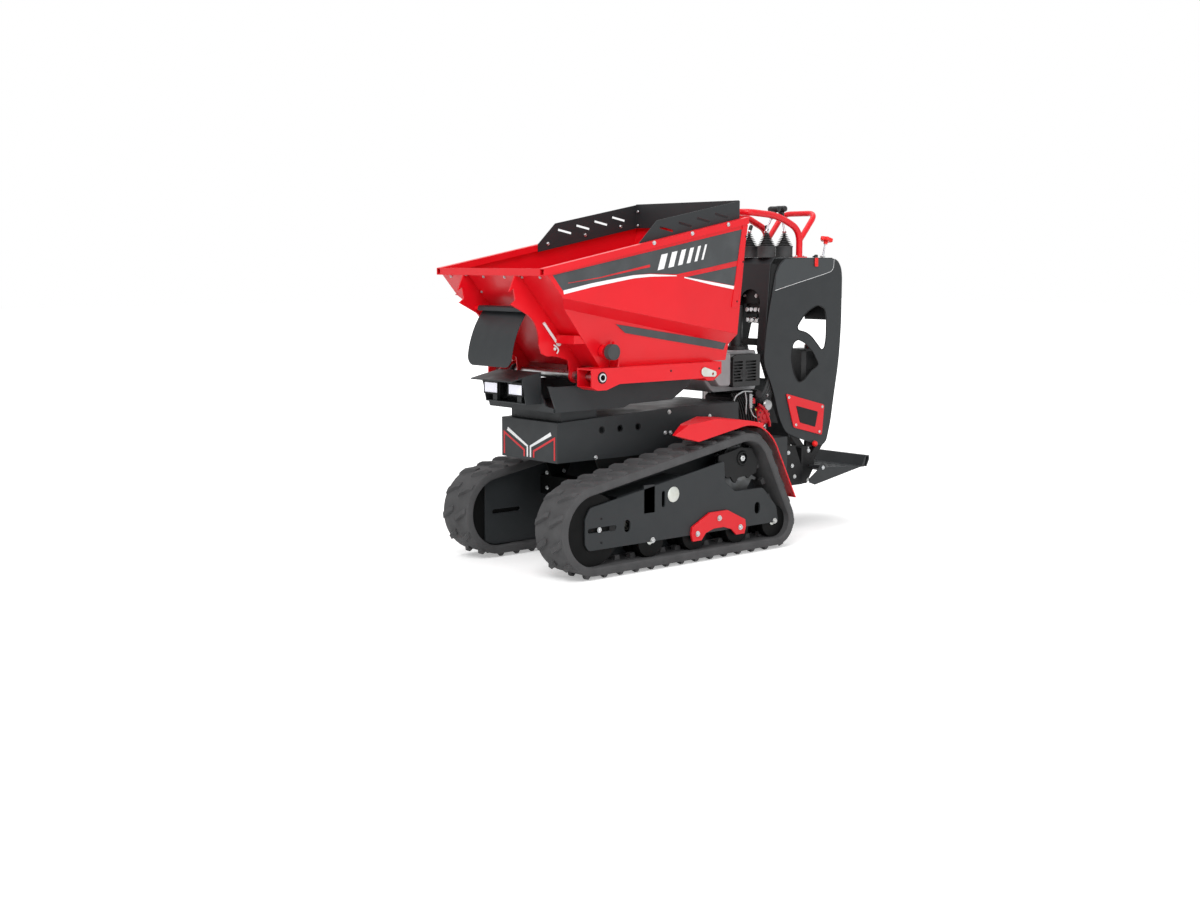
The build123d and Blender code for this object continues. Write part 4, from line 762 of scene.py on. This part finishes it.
# raised rim of each window: a bar of this section
RIM_SECTION = ((-1.5, -0.9), (-1.5, 0.9), (1.5, 0.9), (1.5, -0.9))
for window in windows:
    rim = [Vector((x, PANEL_OUT + 0.2, z)) for x, z in window]
    loops = []
    for i, point in enumerate(rim):
        ahead = (rim[(i + 1) % len(rim)] - rim[i - 1]).normalized()
        across = ahead.cross(Vector((0, 1, 0)))
        loops.append([tuple(point + across * u + Vector((0, v, 0))) for u, v in RIM_SECTION])
    dark.rings(loops, closed=True)

# slightly paler film above a line, bare where lettering would be
LINE = rounded(((-404, 958), (-560, 992), (-700, 1022), (-744, 1034), (-748, 1080)), [0, 0, 0, 24, 0], 5)
FOLD_FILM = LINE + [(-721, 1082), (-504, 1082), (-460, 1078), (-428, 1054), (-409, 1018)]
# badge plate and its darker inner plate, screwed to each side; nothing is written on it
BADGE = ((-472, 551), (-700, 494), (-688, 371), (-519, 413))
BADGE_INNER = ((-530, 500), (-660, 468), (-645, 407), (-554, 431))
BADGE_SCREWS = ((-488, 535), (-687, 486), (-532, 423), (-672, 386))
BADGE_IN, BADGE_THICK = PANEL_OUT + 0.3, 4
SCREW = ((0, 0), (6, 0), (6, 1), (4.5, 2.6), (2.2, 2.8), (2, 1.2), (0, 1.2))
badge_out = BADGE_IN + BADGE_THICK
fold_film, fold_line = Heap(), Heap()
for name, s in SIDES:
    film(fold_film, FOLD_FILM, flat(PANEL_OUT), s, 0.4)
    film(fold_line, stripe(LINE, 1.8), flat(PANEL_OUT), s, 0.6)
    plate(f"{name}_badge", [rounded(BADGE, 9, 4)], side_place(s, BADGE_IN), BADGE_THICK, RED, 1.0,
        instead="side_badges" if s > 0 else None)
    dark.prism(rounded(BADGE_INNER, 6, 3), 0, 1.4, side_place(s, badge_out), 0.5)
    for x, z in BADGE_SCREWS:
        screws.lathe(SCREW, (x, s * badge_out, z), (0, s, 0), 18)
fold_film.make("console_film", FILM)
fold_line.make("console_line", DECAL_WHITE)

# handlebar: two bent tubes joined across, on bolted feet
BAR_HALF, BAR_X, BAR_BEND = 88.0, -552.0, 40
# radius, bend and x, z corners of each tube
BAR_TUBES = ((13, 62, ((BAR_X, 1088), (BAR_X, 1194), (-427, 1247), (-263, 1258))),
    (11, 34, ((BAR_X, 1150), (-647, 1260))))
bar = Heap()
for r, bend, corners in BAR_TUBES:
    across = [(x, BAR_HALF, z) for x, z in corners] + [(x, -BAR_HALF, z) for x, z in reversed(corners)]
    own = len(corners) - 2
    bar.tube(rounded(across, [0] + [bend] * own + [BAR_BEND] * (own + 2) + [0], 8), r, 24)
for _, s in SIDES:
    y_low, y_high = s * BAR_HALF - 12, s * BAR_HALF + 12
    bar.prism(rounded(oblong(-588, y_low, -528, y_high), 4, 2), CONSOLE_TOP + 0.4, CONSOLE_TOP + 4.4,
        edge=0.8)
    for x in (-580, -536):
        screws.bolt((x, s * BAR_HALF, CONSOLE_TOP + 4.5), (0, 0, 1), 5)
bar.make("bent_handlebar", RED, instead="handlebar")

# ribbed bellows round the control levers: a straight foot, ribs on a cone, a collar
BOOT_LOW, BOOT_FOOT, BOOT_R, RIB_HIGH, RIB_COUNT = 1085.3, 46, 31, 6.6, 7
LEVER_Y = 46
LEVERS = ((-407, -434), (-510, -497))            # x of each pair of boots and of their grips
T_GRIP = ((-27, 6), (-25, 10.5), (-19, 12.4), (0, 12), (19, 12.4), (25, 10.5), (27, 6))
boot = [(0, 0), (35, 0), (35, 4), (33.5, 6), (33.5, 40), (35, 42), (35, 45), (BOOT_R, BOOT_FOOT)]
for k in range(RIB_COUNT):
    low, r = BOOT_FOOT + k * RIB_HIGH, BOOT_R - k * 3.4
    boot += [(max(r - 9, 5), low + 0.4), (r + 2, low + 3.0), (r + 1.6, low + 4.4),
        (max(r - 10, 4.5), low + 6.2)]
boot += [(7.5, 94), (7.5, 95.8), (0, 95.8)]
boots = Heap()
for x, x_top in LEVERS:
    for y in (LEVER_Y, -LEVER_Y):
        boots.lathe(boot, (x, y, BOOT_LOW), steps=40)
        # the levers lean together; the near pair has T-shaped grips, the far pair ends in plain sleeves
        lean = Vector((x_top - x, 0, 60)).normalized()
        neck = Vector((x_top, y, 1236)) if y > 0 else Vector((x + (x_top - x) * 0.2, y, 1196))
        chrome.tube(along([(x, y, 1181.5), (x, y, 1190), neck], 6), 4.2, 16)
        chrome.nut(8.5, 0, 6, level((x, y, 1182)))
        if y < 0:
            grips.lathe(((6.5, 0), (7.5, 3), (7.5, 17), (5, 21), (0, 22)), neck - lean * 4, lean, 20)
            continue
        grips.lathe(((7, 0), (9.5, 6), (10, 16), (13, 29), (0, 36)), neck, lean, 24)
        head = neck + lean * 40
        grips.tube([(head.x, y + across, head.z) for across, _ in T_GRIP], [r for _, r in T_GRIP], 22)
boots.make("lever_bellows", SOFT_RUBBER, instead="lever_boots", angle=50)

# throttle: star knob on a threaded rod that leans back
STAR_FOOT, STAR_R, STAR_DEEP = Vector((-700.0, 80.0, 1085.5)), 22.5, 4.0
star_axis = Vector((-0.28, 0, 0.96)).normalized()
star = []
for i in range(80):
    a = 2 * pi * i / 80
    r = STAR_R + STAR_DEEP * cos(5 * a)
    star.append((r * cos(a), r * sin(a)))
STAR_STEPS = ((0.75, 0), (0.96, 2), (1, 5), (1, 13), (0.94, 16.5), (0.6, 19), (0.2, 19.6))
red.lathe(((8, 0), (9, 12)), STAR_FOOT + star_axis * 56, star_axis, 24)
red.rings([[(x * k, y * k, h) for x, y in star] for k, h in STAR_STEPS],
    facing(STAR_FOOT + star_axis * 66, star_axis))
thread = [(0, 0)]
for k in range(26):
    thread += [(3.6, k * 2.3), (4.4, k * 2.3 + 1.1)]
chrome.lathe(thread + [(3.6, 60), (0, 60)], STAR_FOOT, star_axis, 16)
screws.nut(11, 0, 7.6, level((STAR_FOOT.x, STAR_FOOT.y, CONSOLE_TOP + 0.4)))
# red clip over the panel's edge, and a short plug beside it
red.block((-646, PANEL_OUT + 0.8, 1050), (-628, PANEL_OUT + 8, 1084), 2.5)
grips.block((-643, PANEL_OUT - 14, 1086), (-631, PANEL_OUT + 7, 1092), 2)
grips.lathe(((8, 0), (8, 7), (7, 10.5), (4, 12)), (-661, 80, CONSOLE_TOP + 0.4), steps=22)
# ball knob at the left side panel's foot, on a dark holder
BALL_R = 12.0
red.lathe([(BALL_R * sin(a), BALL_R - BALL_R * cos(a)) for a in spread(16, 0, pi)],
    (-643, PANEL_OUT - 5.6, 339), (0, 1, 0), 24)
dark.block((-640, PANEL_OUT - 22, 326), (-606, PANEL_OUT - 6, 352), 2)
# back plate of the console's upper half, between the side panels
dark.block((-797, 4 - PANEL_OUT, 832), (-793, PANEL_OUT - 4, 1010), 1)
grips.make("lever_grips", PLASTIC, instead="control_knobs")
red.make("red_console_knobs", RED_PLASTIC, angle=40)
chrome.make("lever_rods", CHROME, instead="control_levers", angle=40)
dark.make("console_trim", DEEP)
screws.make("console_screws", ZINC)

canister_cap = Heap()
canister_cap.lathe(((17, 0), (19, 2), (19, 14), (17, 17)), (-690, 24, 718.4), steps=28)
canister_cap.make("canister_cap", RED_PLASTIC)

# ---- operator's platform ----
TREAD_FIRST, TREAD_Z, TREAD_STEP = (-848.0, -148.0), 236.0, (36, 37)
MARK = ((-9, 0), (-4, -2.4), (4, -2.4), (9, 0), (4, 2.4), (-4, 2.4))
tread = Heap()
for row in range(9):
    for col in range(6):
        x, y = TREAD_FIRST[0] + col * TREAD_STEP[0], TREAD_FIRST[1] + row * TREAD_STEP[1]
        turn = pi / 4 if (row + col) % 2 else -pi / 4
        mark = [(x + u * cos(turn) - v * sin(turn), y + u * sin(turn) + v * cos(turn)) for u, v in MARK]
        tread.prism(mark, TREAD_Z + 0.1, TREAD_Z + 1.7, edge=0.6)
tread.make("step_tread_marks", DARK, "platform")
hinge = Heap()
for _, s in SIDES:
    hinge.bolt((-621, s * 171, 250), (0, s, 0), 7)
hinge.make("step_hinge_bolts", ZINC, "platform")

# ---- engine bay ----
def box_of(node):
    """The CAD node's box, as two corners."""
    return [[v / MM for v in corner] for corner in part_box(node)]


# slatted cover over the cooling fan
(cx_a, cy_a, cz_a), (cx_b, cy_b, cz_b) = box_of("engine_cover")
SLAT_COLUMNS, SLAT_HALF = ((-217, -168), (-291, -233)), 3.3
HUB = (-225.5, 643.0)                            # x and z of the fan
HUB_CLEAR, HUB_HIGH = 10, 20                     # slats near the hub stop this short of it
COVER_WALL = 5
cover_edge = rounded([(cx_a, cz_a), (cx_b, cz_a), (cx_b, cz_b - 10), (cx_b - 26, cz_b), (cx_a, cz_b)], 8, 3)
slats = []
for z in spread(7, 617, 688):
    for low, high in SLAT_COLUMNS:
        if abs(z - HUB[1]) < HUB_HIGH:
            low, high = (low, high - HUB_CLEAR) if low < HUB[0] else (low + HUB_CLEAR, high)
        slats.append(rounded(oblong(low, z - SLAT_HALF, high, z + SLAT_HALF), 1.5, 2))
plate("engine_cover_grille", [cover_edge] + slats, side_place(1, cy_b - 7), 7, PLASTIC, 1.2,
    instead="engine_cover")
cover = Heap()
cover.prism(cover_edge, 0, cy_b - 14 - cy_a, side_place(1, cy_a))
for (x_low, x_high), (z_low, z_high) in (((cx_a, cx_a + COVER_WALL), (cz_a, cz_b - 28)),
        ((cx_b - COVER_WALL, cx_b), (cz_a, cz_b - 28)), ((cx_a, cx_b), (cz_a, cz_a + COVER_WALL)),
        ((cx_a, cx_b - 28), (cz_b - COVER_WALL, cz_b))):
    cover.block((x_low, cy_b - 15, z_low), (x_high, cy_b - 6, z_high), 1)
# fan blades behind the slats, and the hub's ribs on the grille
BLADES = 9
BLADE = ((10, -0.2), (40, -0.12), (40, 0.12), (10, 0.2))      # radius and angle of a blade's corners
for k in range(BLADES):
    turn = 2 * pi * k / BLADES
    blade = [(HUB[0] + r * cos(turn + a), HUB[1] + r * sin(turn + a)) for r, a in BLADE]
    cover.prism(blade, 0, 4, side_place(1, cy_b - 13.5))
for r in (7, 13):
    cover.band(r, r + 2.5, 1.4, (HUB[0], cy_b - 0.5, HUB[1]), (0, 1, 0))
cover.make("engine_cover_body", PLASTIC)

# engine, guessed where the photo is blurred: crankcase, finned cylinder, shroud, exhaust, pipes
NEAR, FAR = (0, 1, 0), (0, -1, 0)
CASE_OUT, FAN_FOOT = 84.0, 412.0
case, fins, shroud, bright, lead, brass = Heap(), Heap(), Heap(), Heap(), Heap(), Heap()
(_, _, ez_a), (_, _, ez_b) = box_of("engine_block")
case.block((-385, -112, ez_a), (-205, CASE_OUT, 505), 14)
case.block((-360, -100, 504), (-215, 70, 556), 10)
case.block((-392, -70, 400), (-384, 60, 500), 3)
for z in spread(9, 508, 566):
    fins.prism(rounded(oblong(-352, -80, -262, 62), 12, 3), z, z + 3)
# leaning fan of cooling fins in front of the shroud
for k in range(8):
    x, lean = -172 - k * 11.5, 22 + k * 3.5
    rail = [(x, 96, ez_b - 4), (x - lean * 0.35, 116, 525), (x - lean * 0.8, 119, 470),
        (x - lean, 112, FAN_FOOT)]
    fins.tube(along(rail, 30), 3.6, 10)
bright.tube(along([(-170, 112, 541), (-176, 116, 560), (-214, 120, 576), (-262, 118, 572)], 10), 3.4)
bright.tube(along([(-222, 120, 574), (-228, 122, 540), (-226, 121, 500), (-232, 116, 478)], 8), 3.2)
# carburettor body with its pale ribbed cover
case.block((-268, 78, 500), (-240, 116, 566), 5)
bright.block((-262, 112, 508), (-246, 124, 564), 3)
for z in spread(5, 516, 556):
    bright.block((-264, 110, z), (-244, 124.6, z + 3), 1)
shroud.block((-284, 96, 525), (-262, 120, 547), 5)
# red shroud of the starter, dished, with its vents; its darker red is painted shade
SHROUD, VENTS, VENT_RING = (-333.0, 470.0), 10, 29.5
shroud.lathe(((38, 0), (41, 6), (40, 22), (35, 31), (24, 36), (22, 33), (12, 33), (10, 36)),
    (SHROUD[0], CASE_OUT, SHROUD[1]), NEAR, 48)
for x, z in ring(VENTS, VENT_RING, *SHROUD):
    case.drum(3.6, 2, (x, CASE_OUT + 33, z), NEAR, 12)
shroud.tube(along([(-306, 112, 520), (-332, 118, 500), (-360, 119, 452), (-366, 116, 430)], 20), 6)
# round air cleaner and its clip, filler, leads, plug and bolts
bright.lathe(((20, 0), (23, 4), (23, 40), (19, 46), (8, 48)), (-359, 70, 513), NEAR, 32)
bright.lathe(((4, 0), (5, 8), (0, 12)), (-352, 112, 548), (0, 0.6, 1), 14)
case.lathe(((17, 0), (17, 34), (13, 38)), (-296, 88, 560), NEAR, 24)
lead.tube(along([(-300, 122, 452), (-306, 124, 436), (-322, 124, 431), (-336, 121, 438)], 8), 2.2, 10)
lead.tube(along([(-252, 122, 505), (-262, 125, 480), (-282, 124, 470)], 12), 1.6, 8)
brass.lathe(((5, 0), (5, 9), (3, 11)), (-284, 110, 500), NEAR, 6)
bright.bolts(((-228, 420), (-262, 408), (-300, 404), (-372, 420), (-372, 486)), CASE_OUT + 0.2, NEAR, 6)
# the far side: recoil cover and exhaust box with a guard
case.lathe(((60, 0), (62, 6), (55, 12)), (-296, -112, 460), FAR, 40)
bright.block((-372, -124, 520), (-230, -84, 568), 8)
for x in spread(9, -360, -240):
    case.block((x, -125, 528), (x + 8, -123.6, 560), 2)
case.make("engine_case", CAST_DARK, instead="engine_block")
fins.make("engine_fins", DEEP, slot="cast_iron")
shroud.make("engine_shroud", PAINTED_SHADE_RED)
bright.make("engine_bright_parts", PIPE_GREY)
lead.make("engine_leads", WHITE_PAINT, slot="grey_plastic")
brass.make("engine_plug", BRASS)

# ---- tank ----
TANK_LID, TANK_CORNER, SWELL_DEEP, SWELL_REAR = 6, 45, 44, -162
tank = Heap()
(tx_a, ty_a, tz_a), (tx_b, ty_b, tz_b) = box_of("hydraulic_tank")
tank_edge = rounded([(tx_a, tz_a), (tx_b - TANK_CORNER, tz_a), (tx_b, tz_a + TANK_CORNER), (tx_b, tz_b - 18),
    (tx_b - 18, tz_b), (tx_a, tz_b)], 14, 4)
tank.prism(tank_edge, 0, TANK_LID, side_place(-1, -ty_a - TANK_LID), 5)
tank.prism(tank_edge, 0, ty_b - ty_a - 2 * TANK_LID, side_place(1, ty_a + TANK_LID))
tank.prism(tank_edge, 0, TANK_LID, side_place(1, ty_b - TANK_LID), 5)
# the tank's front swells out beside the cover
swell = rounded([(SWELL_REAR, 597), (tx_b - 40, 597), (tx_b - 2, 640), (tx_b - 4, tz_b - 16),
    (tx_b - 20, tz_b - 3), (SWELL_REAR, tz_b - 3)], 12, 4)
tank.prism(swell, 0, SWELL_DEEP, side_place(1, ty_b - 1), 6)
tank.make("moulded_tank", GREY_PLASTIC, instead="hydraulic_tank")

# ---- valve block ----
VALVE_LOW, VALVE_TOP = 865.0, 945.0
VALVE_PLATE = ((-60, 905), (30, 905), (30, 965), (-42, 965), (-60, 948))             # y, z corners
FITTINGS = ((-33, 881), (-10, 882), (13, 882), (36, 881), (-30, 841), (-6, 840), (20, 838))
HOSES, LANE = 6, -404
valves, fittings, hoses = Heap(), Heap(), Heap()
(vx_a, vy_a, vz_a), (vx_b, vy_b, vz_b) = box_of("valve_block")
front_x = vx_b - 8
valves.block((vx_a, vy_a, VALVE_LOW), (front_x, vy_b, VALVE_TOP), 4)
for y in (-30, 30):
    valves.block((-435, y - 2, VALVE_TOP - 1), (-405, y + 2, vz_b), 0.5)
faces_front = Matrix(((0, 0, 1), (1, 0, 0), (0, 1, 0))).to_4x4()
valves.prism(rounded(VALVE_PLATE, 4, 2), 0, 7, level((front_x, 0, 0)) @ faces_front, 1)
for y in (-47, 16):
    fittings.bolt((vx_b - 1, y, 936), (1, 0, 0), 6.5)
for i, (y, z) in enumerate(FITTINGS):
    fittings.nut(12.5, 0, 12, facing((vx_b - 24, y, z), (1, 0, 0)))
    fittings.lathe(((10, 0), (10, 14), (8, 17)), (vx_b - 15, y, z), (1, 0, 0), 18)
    if i < HOSES:
        # hoses run back and down inside the left side panel
        lane = LANE - i * 15
        hoses.tube(along([(vx_a + 4, y, vz_a + 20 + i * 6), (vx_a - 26, y + 20, vz_a + 16 + i * 5),
            (lane, 82, 800), (lane, 84, 640), (lane + 34, 78, 560), (lane + 60, 60, 530)], 30), 6.5)
valves.make("valve_body", DEEP, slot="cast_iron", instead="valve_block")
fittings.make("valve_fittings", ZINC)
hoses.make("hydraulic_hoses", SOFT_RUBBER)

# ---- work lights ----
housings, lenses = Heap(), Heap()
(lx_a, _, lz_a), (lx_b, ly_b, lz_b) = box_of("work_lights")
LAMP_Y, BROW, SILL, CHEEK = 69.6, 9, 5, 4
lamp_half = ly_b - LAMP_Y
for _, s in SIDES:
    y_a, y_b = s * LAMP_Y - lamp_half, s * LAMP_Y + lamp_half
    housings.block((lx_a, y_a, lz_a), (lx_b - 7, y_b, lz_b), 4)
    # brow, sill and cheeks round the lens, cooling fins behind
    for z_low, z_high in ((lz_a, lz_a + SILL), (lz_b - BROW, lz_b)):
        housings.block((lx_b - 9, y_a, z_low), (lx_b, y_b, z_high), 2)
    for y_low, y_high in ((y_a, y_a + CHEEK), (y_b - CHEEK, y_b)):
        housings.block((lx_b - 9, y_low, lz_a + 4), (lx_b - 1, y_high, lz_b - 8), 1)
    lenses.block((lx_b - 8, y_a + 3.8, lz_a + 4.8), (lx_b - 3, y_b - 3.8, lz_b - 8.8), 1)
    for z in spread(5, lz_a + 5, lz_b - 8):
        housings.block((lx_a - 3, y_a + 3, z), (lx_a + 1, y_b - 3, z + 3), 0.8)
housings.make("lamp_housings", DEEP, instead="work_lights")
lenses.make("lamp_lenses", LENS)

# ---- stage ----
def seen_as_white(tree, *more):
    """1 for rays from the camera or a mirror, or of the other kinds named, and 0 for light on the machine."""
    path = tree.nodes.new("ShaderNodeLightPath")
    value = path.outputs["Is Camera Ray"]
    for kind in ("Is Glossy Ray", *more):
        value = add_node(tree, "Math", operation="MAXIMUM", Value=value, Value_001=path.outputs[kind])
    return value


def shown_white(name, colour, extra):
    """Diffuse material that mirrors and the camera see as paler than it lights the machine."""
    made = bpy.data.materials.new(name)
    made.use_nodes = True
    tree = made.node_tree
    tree.nodes.clear()
    # what is seen grows paler away from the machine, where less of the lamps' light falls
    place = add_node(tree, "TexCoord", "Object")
    distance = add_node(tree, "VectorMath", "Value", operation="LENGTH", Vector=place)
    paler = add_node(tree, "MapRange", Value=distance, From_Min=1.2, From_Max=5.0, To_Min=extra, To_Max=1.0)
    seen = add_node(tree, "Math", operation="MULTIPLY", Value=seen_as_white(tree), Value_001=paler)
    glow = add_node(tree, "Emission", Strength=seen)
    diffuse = add_node(tree, "BsdfDiffuse", Color=colour)
    both = add_node(tree, "AddShader", Shader=diffuse, Shader_001=glow)
    add_node(tree, "OutputMaterial", Surface=both)
    return made


FLOOR_HALF, FLOOR_Z, FLOOR_EXTRA = 30.0, -0.0005, 0.37           # metres, metres, least strength
floor_mesh = bpy.data.meshes.new("floor")
floor_outline = oblong(-FLOOR_HALF, -FLOOR_HALF, FLOOR_HALF, FLOOR_HALF)
floor_mesh.from_pydata([(x, y, FLOOR_Z) for x, y in floor_outline], [], [(0, 1, 2, 3)])
floor = bpy.data.objects.new("floor", floor_mesh)
floor_mesh.materials.append(shown_white("pale_floor", srgb(244, 244, 244), FLOOR_EXTRA))
bpy.context.scene.collection.objects.link(floor)

SKY_LIGHT = 0.55
world = bpy.data.worlds.new("studio")
bpy.context.scene.world = world
world.use_nodes = True
sky = world.node_tree
sky_strength = add_node(sky, "MapRange", Value=seen_as_white(sky, "Is Transmission Ray"), To_Min=SKY_LIGHT,
    To_Max=1.0)
fill(sky, sky.nodes["Background"], Strength=sky_strength, Color=(1, 1, 1, 1))

MACHINE_MIDDLE = Vector((0.0, 0.0, 0.55))
# name, place, width, power in watts
LAMPS = (("key", (3.4, 2.2, 4.2), 2.6, 150.0), ("fill", (0.6, 4.6, 1.9), 3.0, 45.0),
    ("top", (-0.8, -0.6, 4.6), 3.0, 80.0))
for name, place, wide, power in LAMPS:
    data = bpy.data.lights.new(name, "AREA")
    data.size, data.energy = wide, power
    lamp = bpy.data.objects.new(name, data)
    lamp.location = place
    lamp.rotation_euler = (MACHINE_MIDDLE - lamp.location).to_track_quat("-Z", "Y").to_euler()
    bpy.context.scene.collection.objects.link(lamp)

# ---- camera ----
CAMERA_AT = Vector((4.0212, 4.2377, 1.0748))
CAMERA_YAW, CAMERA_PITCH = 0.864667, 0.122829    # radians, towards the machine and downwards
CAMERA_LENS, CAMERA_SENSOR = 46.116, 36.0

look = Vector((-cos(CAMERA_YAW) * cos(CAMERA_PITCH), -sin(CAMERA_YAW) * cos(CAMERA_PITCH),
    -sin(CAMERA_PITCH)))
camera_data = bpy.data.cameras.new("camera")
camera_data.lens = CAMERA_LENS
camera_data.sensor_width = CAMERA_SENSOR
camera = bpy.data.objects.new("camera", camera_data)
camera.location = CAMERA_AT
camera.rotation_euler = look.to_track_quat("-Z", "Y").to_euler()
bpy.context.scene.collection.objects.link(camera)
bpy.context.scene.camera = camera
bpy.context.scene.view_settings.view_transform = "Standard"
